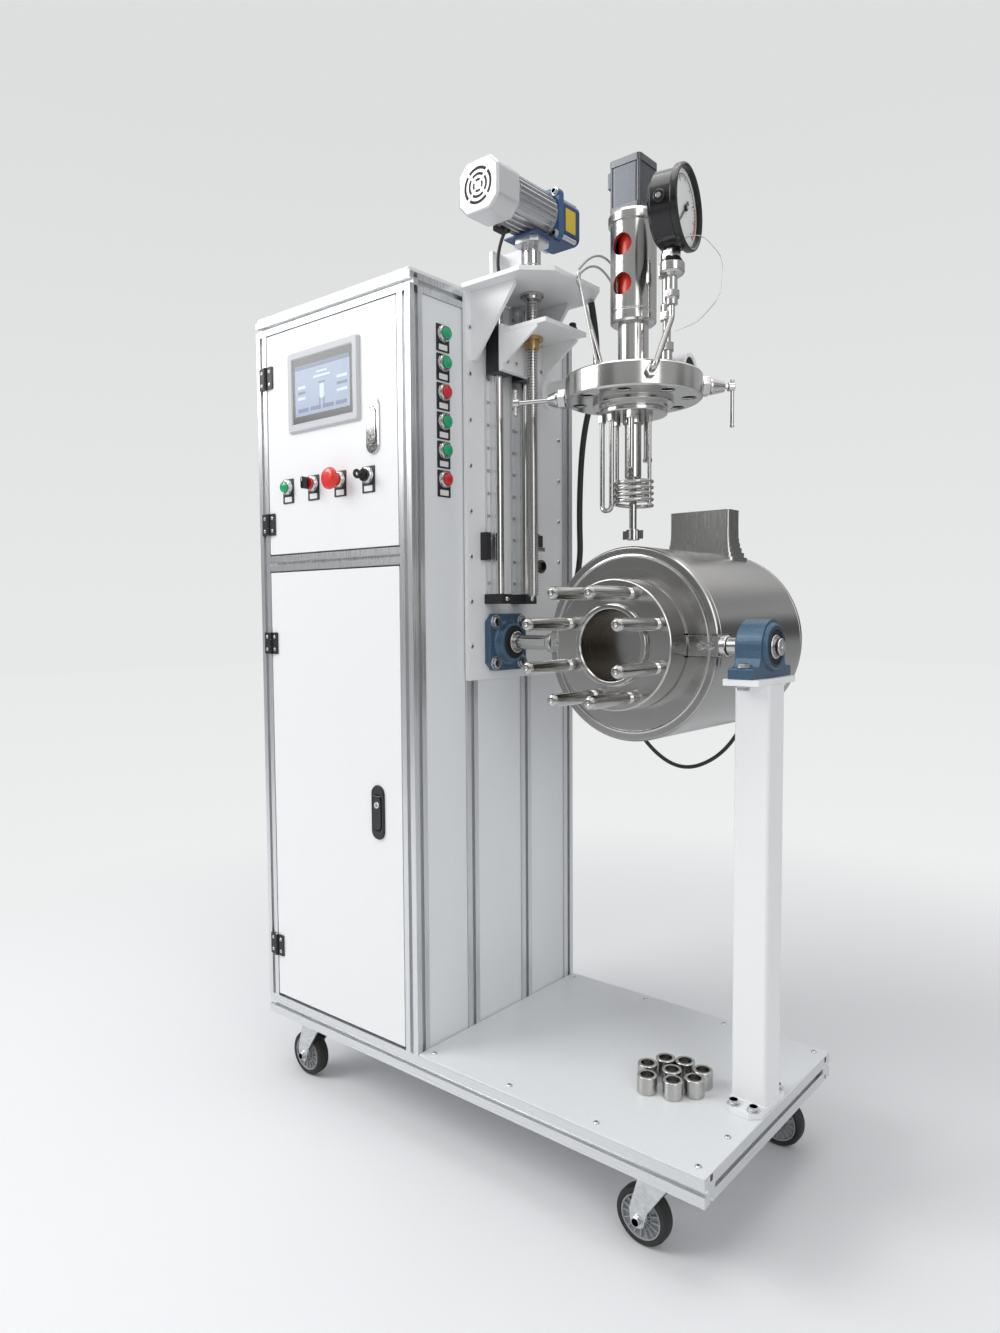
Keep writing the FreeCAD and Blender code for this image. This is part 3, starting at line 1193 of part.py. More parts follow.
def valve_handle(number, reach, stem_long, bar_long, above):
    """A handle on its port's axis, its bar upright with a part of it above the stem."""
    start = port_start(number, reach + end_play)
    across, back, rise = ports[number]
    end = port_start(number, reach + end_play + stem_long)
    return join(rod(start, stem_radius, stem_long, port_turn(number)),
                rod((end[0], end[1], end[2] + above), handle_radius, bar_long, DOWN),
                rod(port_start(number, reach + end_play + stem_long - 8), stem_radius * 1.8, 12,
                    port_turn(number)))


keep("gas_valve_handle", valve_handle(1, valve_body, valve_body * 1.1, gas_bar, 12))
keep("vent_valve_handle", valve_handle(2, valve_body * 0.7, vent_stem, vent_bar, vent_bar / 2))

# Vessel, drawn about its own axis from the tilt axis towards its closed end
vessel_radius = driving("vessel_radius", 108, "flange of the vessel")
bore_radius = driving("bore_radius", 57, "bore of the vessel")
body_radius = driving("body_radius", 85, "wall of the vessel in its jacket")
flange_front = driving("flange_front", 63, "tilt axis to the flange's face")
bore_deep = driving("bore_depth", 317, "flange's face to the bottom of the bore")
vessel_floor = driving("vessel_floor", 20, "bottom of the vessel")
jacket_radius = driving("jacket_radius", 162, "heating jacket")
jacket_front = driving("jacket_front", 13, "tilt axis to the jacket's front face")
jacket_back = driving("jacket_back", 323, "tilt axis to the jacket's back face")
stud_reach = driving("stud_reach", 119, "studs in front of the flange's face")
stud_seat = driving("stud_seat", 40, "studs in the flange")
root_radius = driving("stud_root_radius", 8.8, "thinner root of a stud")
face_y = centre_y - flange_front
lip = vessel_radius - 2
lug_half = driving("lug_half_height", 17, "lugs and trunnion tongues, half height")
lug_thick = driving("lug_thickness", 13, "lugs and trunnion tongues")
lug_end = driving("lug_end", 158, "vessel's axis to the end of a lug")
vessel_end = bore_deep - flange_front + vessel_floor
barrel_wall = turned([(bore_radius, -flange_front - step_drop), (step_radius + 1, -flange_front - step_drop),
                      (step_radius + 1, -flange_front), (vessel_radius, -flange_front),
                      (vessel_radius, -jacket_front - 3), (lip, -jacket_front - 1), (lip, 5),
                      (body_radius, 5), (body_radius, vessel_end), (0, vessel_end),
                      (0, vessel_end - vessel_floor), (bore_radius, vessel_end - vessel_floor)],
                     (reactor_x, centre_y, tilt_height), TO_BACK)
stud_holes = drawn(barrel_wall, "XY_Plane", -flange_front)
circle(stud_holes, bolt_u, bolt_v, root_radius)
seat = barrel_wall.newObject("PartDesign::Pocket", "stud_hole")
seat.Profile = stud_holes
bind(seat, "Length", stud_seat)
seat.Reversed = True
stud_ring = barrel_wall.newObject("PartDesign::PolarPattern", "stud_holes")
stud_ring.Originals = [seat]
stud_ring.Axis = (stud_holes, ["N_Axis"])
stud_ring.Angle = 360
stud_ring.Occurrences = stud_count
barrel_wall.Tip = stud_ring


# Its flange carries a lug on each side that a trunnion's tongue lies against.
keep("vessel_body", join(barrel_wall, *[
    block((reactor_x + (lip - 4 if way > 0 else -lug_end), centre_y, tilt_height - lug_half),
          lug_end - lip + 4, lug_thick, 2 * lug_half) for way in (-1, 1)]))

stud_profile = [(0, -stud_reach), (stud_radius - 3, -stud_reach), (stud_radius, 4 - stud_reach),
                (stud_radius, -16), (root_radius, -13), (root_radius, stud_seat), (0, stud_seat)]
stud_places = [((2 * step + 1) * half_step) for step in range(stud_count)]
keep("closure_studs", together(*[
    turned(stud_profile, (reactor_x + bolt_circle * math.cos(angle), face_y,
                          tilt_height + bolt_circle * math.sin(angle)), TO_BACK)
    for angle in stud_places]))

# Heating jacket: the shell with its two notches, the terminal box and the cable's gland
notch_half = driving("notch_half_height", 19, "notches for the lugs, half height")
notch_deep = driving("notch_depth", 45, "notches for the lugs, back from the jacket's face")
notch_start = driving("notch_start", 118, "vessel's axis to the notches")
jacket_shell = turned([(lip + 1, -jacket_front), (jacket_radius - 3, -jacket_front),
                       (jacket_radius, 3 - jacket_front), (jacket_radius, jacket_back - 4),
                       (jacket_radius - 4, jacket_back), (0, jacket_back), (0, vessel_end),
                       (body_radius, vessel_end), (body_radius, 6), (lip + 1, 6)],
                      (reactor_x, centre_y, tilt_height), TO_BACK)
notches = [block((reactor_x + (lip - 5 if way > 0 else -jacket_radius - 1),
                  centre_y - jacket_front - 1, tilt_height - notch_half),
                 jacket_radius - lip + 6, notch_deep + 1, 2 * notch_half) for way in (-1, 1)]
box_front = driving("terminal_front", 229, "tilt axis to the terminal box")
box_deep = driving("terminal_depth", 45, "terminal box, along the vessel")
box_half = driving("terminal_half_width", 60, "terminal box, half of its width")
box_low_side = driving("terminal_front_top", 195, "vessel's axis to the box's front top edge")
box_high_side = driving("terminal_back_top", 239, "vessel's axis to the box's back top edge")
terminal = plate([(box_front, 140), (box_front + box_deep, 140),
                  (box_front + box_deep, box_high_side), (box_front, box_low_side)],
                 2 * box_half, (reactor_x - box_half, centre_y, tilt_height), ON_SIDE)
gland_x = reactor_x + driving("jacket_gland_place", 54, "vessel's axis to the heater cable's gland")
gland_z = tilt_height - driving("jacket_gland_drop", 51, "vessel's axis down to the same gland")
jacket_end = centre_y + jacket_back
heater_dia = driving("heater_cable", 8, "heater cable")


def gland(start, radius, cord, turn):
    """A cable gland: hexagon, rounded cap and the bore that the cable ends in."""
    x, y, z = start
    hexed = hexagon((x, y, z), radius, 7, turn)
    cap_body = turned([(0, 6), (radius * 0.8, 6), (radius * 0.75, 14), (cord + 1, 18), (0, 18)],
                      (x, y, z), turn)
    return cut(join(hexed, cap_body), rod((x, y, z), cord + hole_play, 20, turn))


keep("heating_jacket", together(
    cut(jacket_shell, *notches),
    cut(terminal, rod((reactor_x, centre_y, tilt_height), jacket_radius, jacket_back, TO_BACK)),
    gland((gland_x, jacket_end, gland_z), 11, heater_dia / 2, TO_BACK)))

# Trunnions: shafts in the bearings, each with a tongue against its lug
trunnion_radius = driving("trunnion_radius", 13, "trunnion shafts")
left_reach = driving("left_reach", 278, "reactor's axis to the left shaft's end")
right_reach = driving("right_reach", 259, "reactor's axis to the right shaft's end")
tongue_start = driving("tongue_start", 122, "reactor's axis to the tongues")


def trunnion(way, reach):
    """A shaft turned from a bar, flattened into a tongue at its inner end."""
    far = (reactor_x + way * reach, centre_y, tilt_height)
    turn = TO_RIGHT if way < 0 else TO_LEFT
    bar_end = reach - lug_end - 4
    inner_x = reactor_x + (tongue_start if way > 0 else -lug_end - 4)
    return join(rod(far, trunnion_radius, bar_end, turn),
                block((inner_x, centre_y - lug_thick, tilt_height - lug_half),
                      lug_end + 4 - tongue_start, lug_thick, 2 * lug_half),
                rod((reactor_x + way * (lug_end + 16), centre_y, tilt_height), lug_half, 12, turn))


tongue_bolt = driving("tongue_bolt_radius", 6, "heads of the tongues' screws")
tongue_long = lug_end - tongue_start
keep("trunnions", together(trunnion(-1, left_reach), trunnion(1, right_reach), *[
    rod((reactor_x + way * (tongue_start + tongue_long * step), centre_y - lug_thick, tilt_height),
        tongue_bolt, tongue_bolt, TO_FRONT)
    for way in (-1, 1) for step in (0.3, 0.72)]))

# Bearings: the flange bearing on the lift plate and the pillow block on the post
bearing_side = driving("flange_bearing_side", 105, "square of the flange bearing")
bearing_thick = driving("flange_bearing_thickness", 14, "square of the flange bearing")
hub_radius = driving("hub_radius", 34, "hub of the flange bearing")
hub_reach = driving("hub_reach", 36, "lift plate to the face of the hub")
bearing_bolt = driving("bearing_bolt_radius", 10, "bolt heads of the bearings")
bolt_tall = driving("bearing_bolt_height", 7, "bolt heads of the bearings")
post_x = driving("post_place", 940, "left end to the post's axis")
post_side = driving("post_side", 56, "square tube of the post")
post_wall = driving("post_wall", 4, "wall of the post")
post_plate = driving("post_plate", 10, "foot and head plates of the post")
block_rise = driving("block_rise", 46, "pillow block's base to its shaft")
block_long = driving("block_length", 136, "pillow block's base, front to back")
block_wide = driving("block_width", 40, "pillow block's base, left to right")
block_thick = driving("block_thickness", 16, "pillow block's base")
insert_radius = driving("insert_radius", 26, "bearing inserts")
shaft_hole = trunnion_radius + run_play
half_flange = bearing_side / 2
clip = bearing_side * 0.14
square = [(-half_flange + clip, -half_flange), (half_flange - clip, -half_flange),
          (half_flange, -half_flange + clip), (half_flange, half_flange - clip),
          (half_flange - clip, half_flange), (-half_flange + clip, half_flange),
          (-half_flange, half_flange - clip), (-half_flange, -half_flange + clip)]
flange_plate = plate(square, bearing_thick, (lift_x, centre_y, tilt_height), ON_SIDE)
flange_hub = turned([(0, bearing_thick), (hub_radius + 6, bearing_thick), (hub_radius, hub_reach - 8),
                     (hub_radius - 3, hub_reach - 4), (insert_radius, hub_reach - 4),
                     (insert_radius - 6, hub_reach), (0, hub_reach)],
                    (lift_x, centre_y, tilt_height), ON_SIDE)
post_top = tilt_height - block_rise
block_outline = [(-block_long / 2, Size(0)), (block_long / 2, Size(0)), (block_long / 2, block_thick),
                 (block_rise, block_thick), (block_rise * 0.93, block_rise * 1.35),
                 (block_rise * 0.5, block_rise * 1.9), (-block_rise * 0.5, block_rise * 1.9),
                 (-block_rise * 0.93, block_rise * 1.35), (-block_rise, block_thick),
                 (-block_long / 2, block_thick)]
pillow = plate(block_outline, block_wide, (post_x - block_wide / 2, centre_y, post_top), ON_SIDE)
collar_face = block_wide / 2
insert = [turned([(0, Size(0)), (insert_radius, Size(0)), (insert_radius - 4, 7), (0, 7)],
                 (post_x + collar_face * way, centre_y, tilt_height), ON_SIDE if way > 0 else TO_LEFT)
          for way in (-1, 1)]
keep("bearing_housings", together(
    cut(join(flange_plate, flange_hub),
        rod((reactor_x - left_reach - 1, centre_y, tilt_height), shaft_hole, 2 * hub_reach, TO_RIGHT)),
    cut(join(pillow, *insert),
        rod((post_x - block_long, centre_y, tilt_height), shaft_hole, 2 * block_long, TO_RIGHT))))
for y in (-1, 1):
    for z in (-1, 1):
        screws.append(hexagon((lift_x + bearing_thick, centre_y + y * (half_flange - clip),
                               tilt_height + z * (half_flange - clip)), bearing_bolt, bolt_tall,
                              TO_RIGHT))
    bolt_y = centre_y + y * (block_long / 2 - bearing_bolt - 1)
    screws.append(hexagon((post_x, bolt_y, post_top + block_thick), bearing_bolt, bolt_tall))
    screws.append(hexagon((post_x, bolt_y, post_top - post_plate), bearing_bolt, bolt_tall,
                          DOWN))

# Post: a square tube between its foot plate and its head plate
foot_long = driving("foot_plate_length", 112, "post's foot plate, front to back")
head_long = driving("head_plate_length", 134, "post's head plate, front to back")
plate_width = driving("post_plate_width", 57, "post's plates, left to right")
foot_low = deck_top
tube_low = foot_low + post_plate
tube_tall = post_top - post_plate - tube_low
post_tube = doc.addObject("PartDesign::Body", "post_tube")
tube_sketch = drawn(post_tube, "XY_Plane")
rectangle(tube_sketch, Size(0), Size(0), post_side, post_side)
rectangle(tube_sketch, post_wall, post_wall, post_side - 2 * post_wall, post_side - 2 * post_wall)
pad(post_tube, tube_sketch, tube_tall)
corners_rounded(post_tube, driving("post_corner", 6, "rounding of the post's corners"))
put(post_tube, post_x - post_side / 2, centre_y - post_side / 2, tube_low)
foot_clip = 14


def post_end(long, low):
    """A plate across an end of the post with clipped corners."""
    half = long / 2
    side = plate_width / 2
    return plate([(-side + foot_clip, -half), (side - foot_clip, -half), (side, foot_clip - half),
                  (side, half - foot_clip), (side - foot_clip, half), (foot_clip - side, half),
                  (-side, half - foot_clip), (-side, foot_clip - half)], post_plate,
                 (post_x, centre_y, low))


keep("support_post", together(post_end(foot_long, foot_low), post_tube,
                              post_end(head_long, post_top - post_plate)))
for x in (-16, 16):
    for y in (-1, 1):
        screws.append(hexagon((post_x + x, centre_y + y * (foot_long / 2 - 13), tube_low), bearing_bolt * 0.8,
                              bolt_tall))

# Closure nuts laid out on the deck
nut_corner = driving("closure_nut_radius", 17, "closure nuts, to their corners")
nut_tall = driving("closure_nut_height", 28, "closure nuts")
nut_spots = [(775, 179), (789, 213), (819, 224), (816, 186), (794, 146), (855, 216), (834, 157), (857, 184)]
keep("closure_nuts", together(*[
    cut(hexagon((Size(x), Size(y), deck_top), nut_corner, nut_tall),
        rod((Size(x), Size(y), deck_top - 1), stud_radius + hole_play, nut_tall + 2))
    for x, y in nut_spots]))

# Screws and bolts that hold the plates, the bearings and the post
keep("screws", together(*screws))

# Cords
motor_lead = driving("motor_lead", 6, "lead of the lift's motor")
lift_cable = driving("lift_cable", 12, "cable along the lift")
lead_dia = driving("sensor_lead", 4, "leads of the sensors")
keep("motor_lead", tube([(502, 160, 1590), (478, 152, 1546), (490, 160, 1503)], motor_lead / 2))
keep("lift_cable", tube([(570, 318, 1491), (566, 345, 1430), (510, 420, 1370), (462, 446, 1285),
                         (450, 450, 1140), (458, 446, 1010), (432, 440, 945)], lift_cable / 2))
keep("heater_cable", tube([(434, 440, 885), (478, 462, 858), (515, 505, 765), (545, 545, 660),
                           (610, 585, 600), (690, 605, 635), (745, 612, 720), (768, 602, 795),
                           (770, 570, 823.5)], heater_dia / 2))
keep("sensor_leads", together(
    tube([(612, 215, 1497), (622, 240, 1530), (645, 275, 1500), (652, 298, 1430), (648, 301, 1359)],
         lead_dia / 2),
    tube([(630, 195, 1500), (640, 225, 1540), (664, 268, 1508), (674, 296, 1430), (668, 301, 1359)],
         lead_dia / 2)))

doc.recompute()
for thing in doc.Objects:
    if "Invalid" in thing.State or "Error" in thing.State:
        raise RuntimeError(f"{thing.Name} did not recompute")
for label, piece in sub_parts.items():
    if piece.Shape.isNull() or not piece.Shape.isValid():
        raise RuntimeError(f"{label} is not a valid shape")
os.makedirs("parts", exist_ok=True)
for label, piece in sub_parts.items():
    piece.Shape.exportStep(f"parts/{label}.step")
print(f"{len(sub_parts)} sub-parts written")
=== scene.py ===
import bmesh
import bpy
import math
from mathutils import Matrix, Vector


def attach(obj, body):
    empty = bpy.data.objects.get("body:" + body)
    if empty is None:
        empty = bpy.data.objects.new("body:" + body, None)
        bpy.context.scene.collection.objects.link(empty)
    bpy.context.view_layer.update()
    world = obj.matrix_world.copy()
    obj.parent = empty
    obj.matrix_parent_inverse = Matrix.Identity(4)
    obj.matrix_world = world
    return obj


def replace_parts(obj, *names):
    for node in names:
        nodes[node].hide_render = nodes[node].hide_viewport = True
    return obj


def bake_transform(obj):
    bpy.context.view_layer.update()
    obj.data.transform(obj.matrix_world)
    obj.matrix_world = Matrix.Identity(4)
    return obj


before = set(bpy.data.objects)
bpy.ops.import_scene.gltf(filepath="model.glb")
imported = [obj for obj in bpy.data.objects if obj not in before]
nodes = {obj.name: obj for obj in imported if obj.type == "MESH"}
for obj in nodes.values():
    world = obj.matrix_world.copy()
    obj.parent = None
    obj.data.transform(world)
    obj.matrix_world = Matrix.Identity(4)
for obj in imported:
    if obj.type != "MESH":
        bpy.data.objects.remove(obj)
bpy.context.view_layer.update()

# Places are written as on the machine, in millimetres: from the left end and the front edge of the
# base, and from the floor. at() turns them into the frame's metres.
MIDDLE = (485.0, 265.0)


def at(x, y, z):
    return Vector(((x - MIDDLE[0]) / 1000, (y - MIDDLE[1]) / 1000, z / 1000))

# Camera and light: the photograph's place and lens, a white room with one large soft light on the
# left and a weaker one on the right, so that the shadows fall softly to the right.
camera_data = bpy.data.cameras.new("camera")
camera_data.sensor_fit = "VERTICAL"
camera_data.sensor_height = 36
camera_data.sensor_width = 36
camera_data.lens = 24.34
camera_data.clip_end = 60
camera = bpy.data.objects.new("camera", camera_data)
bpy.context.scene.collection.objects.link(camera)
yaw, pitch, roll = (math.radians(v) for v in (40.09, 3.31, -0.36))
ahead = Vector((-math.sin(yaw) * math.cos(pitch), math.cos(yaw) * math.cos(pitch),
                -math.sin(pitch)))
right = Vector((math.cos(yaw), math.sin(yaw), 0))
up = right.cross(ahead)
side = right * math.cos(roll) + up * math.sin(roll)
top = up * math.cos(roll) - right * math.sin(roll)
turn = Matrix((side, top, -ahead)).transposed().to_4x4()
camera.matrix_world = Matrix.Translation(at(1515.2, -1067.7, 927.0)) @ turn
bpy.context.scene.camera = camera
bpy.context.scene.view_settings.view_transform = "Standard"


def lamp(name, place, aim, size, watts):
    """A soft box at a place, turned to what it lights, in metres."""
    data = bpy.data.lights.new(name, "AREA")
    data.shape = "RECTANGLE"
    data.size, data.size_y = size
    data.energy = watts
    lit = bpy.data.objects.new(name, data)
    bpy.context.scene.collection.objects.link(lit)
    lit.location = place
    lit.rotation_euler = (Vector(aim) - Vector(place)).to_track_quat("-Z", "Y").to_euler()


lamp("key", (-2.4, -2.6, 3.0), (0, 0, 0.9), (2.2, 2.2), 95)
lamp("fill", (3.2, -1.8, 2.0), (0.2, 0, 0.8), (1.8, 2.6), 30)
lamp("top", (0.2, -0.2, 4.2), (0.1, 0, 0), (2.6, 2.6), 45)


# Room: the camera sees a pale backdrop, a little darker upwards. Polished steel mirrors a dark band
# of room at the height of the eye, softly broken up, with bright ceiling lights above it.
def node(net, kind, inputs=None, **settings):
    """A node with its settings. An input gets a value, or a link where a socket is given."""
    made_node = net.nodes.new(kind)
    for name, value in settings.items():
        setattr(made_node, name, value)
    for name, value in (inputs or {}).items():
        if isinstance(value, bpy.types.NodeSocket):
            net.links.new(value, made_node.inputs[name])
        else:
            made_node.inputs[name].default_value = value
    return made_node


def toned(net, factor, *stops):
    """The colour of a ramp through stops of (place, colour), at a factor that a socket gives."""
    ramp = node(net, "ShaderNodeValToRGB", {"Fac": factor})
    elements = ramp.color_ramp.elements
    elements[0].position, elements[0].color = stops[0]
    elements[1].position, elements[1].color = stops[-1]
    for place, colour in stops[1:-1]:
        elements.new(place).color = colour
    return ramp.outputs["Color"]


BACKDROP = (0.80, 0.815, 0.812, 1)
world = bpy.data.worlds.new("studio")
bpy.context.scene.world = world
world.use_nodes = True
tree = world.node_tree
tree.nodes.clear()
heading = node(tree, "ShaderNodeTexCoord").outputs["Generated"]
rise = node(tree, "ShaderNodeSeparateXYZ", {0: heading}).outputs["Z"]
seen = node(tree, "ShaderNodeBackground", {
    "Strength": 1.0, "Color": toned(tree, rise, (0.0, BACKDROP), (0.45, (0.725, 0.74, 0.735, 1)))})
clouds = node(tree, "ShaderNodeTexNoise", {"Scale": 1.5, "Detail": 1.5, "Vector": heading})
shifted = node(tree, "ShaderNodeMath", {0: clouds.outputs["Fac"], 1: 0.55, 2: rise},
               operation="MULTIPLY_ADD")
GREYS = ((0.2, 0.42), (0.3, 0.1), (0.47, 0.13), (0.58, 0.5), (0.72, 0.34))
greys = [(place, (grey, grey, grey * 1.02, 1)) for place, grey in GREYS]
bands = toned(tree, shifted.outputs[0], (0.0, (0.62, 0.63, 0.64, 1)), *greys, (0.95, (1, 1, 1, 1)))
room = node(tree, "ShaderNodeBackground", {"Strength": 1.15, "Color": bands})
soft = node(tree, "ShaderNodeBackground", {"Strength": 0.42, "Color": (0.95, 0.97, 1, 1)})
paths = node(tree, "ShaderNodeLightPath")
mirrored = node(tree, "ShaderNodeMixShader", {"Fac": paths.outputs["Is Glossy Ray"],
                                              1: soft.outputs[0], 2: room.outputs[0]})
sky = node(tree, "ShaderNodeMixShader", {"Fac": paths.outputs["Is Camera Ray"],
                                         1: mirrored.outputs[0], 2: seen.outputs[0]})
node(tree, "ShaderNodeOutputWorld", {"Surface": sky.outputs[0]})

# Studio floor: a wide pale sheet with the soft shadow of the machine on it, which runs into the
# backdrop without an edge a few metres away.
floor_mesh = bpy.data.meshes.new("studio_floor")
floor_mesh.from_pydata([(-14, -9, 0), (14, -9, 0), (14, 16, 0), (-14, 16, 0)], [], [(0, 1, 2, 3)])
studio_floor = bpy.data.objects.new("studio_floor", floor_mesh)
bpy.context.scene.collection.objects.link(studio_floor)
floor_paint = bpy.data.materials.new("floor")
floor_paint.use_nodes = True
floor_net = floor_paint.node_tree
floor_shader = floor_net.nodes["Principled BSDF"]
floor_shader.inputs["Base Color"].default_value = (0.86, 0.865, 0.875, 1)
floor_shader.inputs["Roughness"].default_value = 0.6
floor_shader.inputs["Specular IOR Level"].default_value = 0.3
floor_at = node(floor_net, "ShaderNodeTexCoord").outputs["Object"]
floor_far = node(floor_net, "ShaderNodeVectorMath", {0: floor_at}, operation="LENGTH")
floor_fade = node(floor_net, "ShaderNodeMapRange", {"From Min": 0.75, "From Max": 2.4,
                                                    "Value": floor_far.outputs["Value"]},
                  interpolation_type="SMOOTHSTEP")
floor_path = node(floor_net, "ShaderNodeLightPath")
floor_part = node(floor_net, "ShaderNodeMath", {
    0: floor_fade.outputs["Result"], 1: floor_path.outputs["Is Camera Ray"]}, operation="MULTIPLY")
floor_look = node(floor_net, "ShaderNodeNewGeometry").outputs["Incoming"]
floor_tilt = node(floor_net, "ShaderNodeSeparateXYZ", {0: floor_look}).outputs["Z"]
floor_glow = node(floor_net, "ShaderNodeEmission", {
    "Color": toned(floor_net, floor_tilt, (0.0, BACKDROP), (0.5, (0.91, 0.925, 0.93, 1)))})
floor_mix = node(floor_net, "ShaderNodeMixShader", {
    "Fac": floor_part.outputs[0], 1: floor_shader.outputs[0], 2: floor_glow.outputs[0]})
floor_net.links.new(floor_mix.outputs[0], floor_net.nodes["Material Output"].inputs["Surface"])
floor_mesh.materials.append(floor_paint)


# Cables: three black sheathed cables for the lift and the heater, and the pale leads of the two
# probes, each on one smooth curve between its glands. The solids follow the same routes.
def cable_finish(name, dark, light):
    """A cable's sheath, with a fine grain between two tones."""
    coat = bpy.data.materials.new(name)
    coat.use_nodes = True
    net = coat.node_tree
    where = node(net, "ShaderNodeTexCoord").outputs["Object"]
    grain = node(net, "ShaderNodeTexNoise", {"Scale": 900, "Vector": where}).outputs["Fac"]
    shader = net.nodes["Principled BSDF"]
    shader.inputs["Roughness"].default_value = 0.42
    net.links.new(toned(net, grain, (0.0, dark), (1.0, light)), shader.inputs["Base Color"])
    return coat


ROUTES = {
    "motor_lead": (3, [(502, 160, 1590), (478, 152, 1546), (490, 160, 1503)]),
    "lift_cable": (6, [(570, 318, 1491), (566, 345, 1430), (510, 420, 1370), (462, 446, 1285),
                       (450, 450, 1140), (458, 446, 1010), (432, 440, 945)]),
    "heater_cable": (4, [(434, 440, 885), (478, 462, 858), (515, 505, 765), (545, 545, 660),
                         (610, 585, 600), (690, 605, 635), (745, 612, 720), (768, 602, 795),
                         (770, 570, 823.5)]),
    "sensor_lead_1": (2, [(612, 215, 1497), (622, 240, 1530), (645, 275, 1500), (652, 298, 1430),
                          (648, 301, 1359)]),
    "sensor_lead_2": (2, [(630, 195, 1500), (640, 225, 1540), (664, 268, 1508), (674, 296, 1430),
                          (668, 301, 1359)]),
}
cable_coat = cable_finish("cable_coat", (0.012, 0.012, 0.014, 1), (0.03, 0.03, 0.033, 1))
pale_coat = cable_finish("pale_coat", (0.34, 0.34, 0.345, 1), (0.55, 0.55, 0.555, 1))


def cable(name):
    """A cable drawn along its route, and the place where it leaves its first gland."""
    radius, points = ROUTES[name]
    curve = bpy.data.curves.new(name, "CURVE")
    curve.dimensions = "3D"
    curve.bevel_depth = radius / 1000
    curve.bevel_resolution = 5
    curve.resolution_u = 10
    curve.use_fill_caps = True
    spline = curve.splines.new("NURBS")
    spline.points.add(len(points) - 1)
    for spot, point in zip(spline.points, points):
        spot.co = (*at(*point), 1)
    spline.order_u = 3
    spline.use_endpoint_u = True
    curve.materials.append(cable_coat)
    drawn = bpy.data.objects.new(name, curve)
    bpy.context.scene.collection.objects.link(drawn)
    return drawn, at(*points[0])


def spline_length(drawn):
    """The length of a cord's own line, without its bevel."""
    plain = drawn.copy()
    plain.data = drawn.data.copy()
    plain.data.bevel_depth = 0
    mesh = bpy.data.meshes.new_from_object(plain)
    ends = [edge.vertices for edge in mesh.edges]
    length = sum((mesh.vertices[a].co - mesh.vertices[b].co).length for a, b in ends)
    bpy.data.curves.remove(plain.data)
    bpy.data.meshes.remove(mesh)
    return length


for name, diameter in (("motor_lead", 0.006), ("lift_cable", 0.012)):
    cord, exit_point = cable(name)
    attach(cord, "base")
    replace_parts(cord, name)
    spline_length(cord)
heater_cable, heater_exit = cable("heater_cable")
heater_length = spline_length(heater_cable)
heater_mesh = bpy.data.meshes.new_from_object(heater_cable)
heater_tube = bpy.data.objects.new("heater_cable_tube", heater_mesh)
bpy.context.scene.collection.objects.link(heater_tube)
plain_line = heater_cable.data.copy()
plain_line.bevel_depth = 0
line_object = bpy.data.objects.new("line", plain_line)
bpy.context.scene.collection.objects.link(line_object)
line_mesh = bpy.data.meshes.new_from_object(line_object)
bpy.data.objects.remove(line_object)
bpy.data.objects.remove(heater_cable)
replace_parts(heater_tube, "heater_cable")
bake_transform(heater_tube)
for number in (1, 2):
    lead, exit_point = cable(f"sensor_lead_{number}")
    lead.data.materials[0] = pale_coat
    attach(lead, "lift")
    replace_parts(lead, "sensor_leads")
    spline_length(lead)


# Slotted bars: the base and the cabinet are framed in drawn and anodised aluminium profiles, which
# the CAD bodies show with their grooves. Each kind has its drawing marks along its longest bars.
def finish(name, colour, rough, metal=0.0, grain=(900, 900, 900), turned=None, vary=0.06,
           relief=0.04, gloss=0.06, coat=0.0):
    """A finish. turned is (a point on the axis, the axis' letter) for rings of lathe marks."""
    paint = bpy.data.materials.new(name)
    paint.use_nodes = True
    net = paint.node_tree
    shader = net.nodes["Principled BSDF"]
    shader.inputs["Metallic"].default_value = metal
    if coat:
        shader.inputs["Coat Weight"].default_value = coat
        shader.inputs["Coat Roughness"].default_value = 0.12
    where = node(net, "ShaderNodeTexCoord").outputs["Object"]
    if turned:
        centre, axis = turned
        moved = node(net, "ShaderNodeVectorMath", {0: where, 1: centre}, operation="SUBTRACT")
        across = [0 if letter == axis else 1 for letter in "XYZ"]
        flat = node(net, "ShaderNodeVectorMath", {0: moved.outputs[0], 1: across},
                    operation="MULTIPLY")
        out = node(net, "ShaderNodeVectorMath", {0: flat.outputs[0]}, operation="LENGTH")
        split = node(net, "ShaderNodeSeparateXYZ", {0: moved.outputs[0]})
        where = node(net, "ShaderNodeCombineXYZ", {"X": out.outputs["Value"],
                                                   "Y": split.outputs[axis]}).outputs[0]
    scaled = node(net, "ShaderNodeMapping", {"Vector": where, "Scale": grain}).outputs[0]
    noise = node(net, "ShaderNodeTexNoise",
                 {"Scale": 1, "Detail": 4, "Vector": scaled}).outputs["Fac"]
    low = (*[v * (1 - vary) for v in colour], 1)
    high = (*[min(1, v * (1 + vary)) for v in colour], 1)
    net.links.new(toned(net, noise, (0.3, low), (0.7, high)), shader.inputs["Base Color"])
    dull = node(net, "ShaderNodeMapRange", {
        "From Min": 0.3, "From Max": 0.7, "To Min": max(0.02, rough - gloss),
        "To Max": rough + gloss, "Value": noise})
    net.links.new(dull.outputs["Result"], shader.inputs["Roughness"])
    bump = node(net, "ShaderNodeBump", {"Strength": relief, "Distance": 0.0004, "Height": noise})
    net.links.new(bump.outputs["Normal"], shader.inputs["Normal"])
    return paint


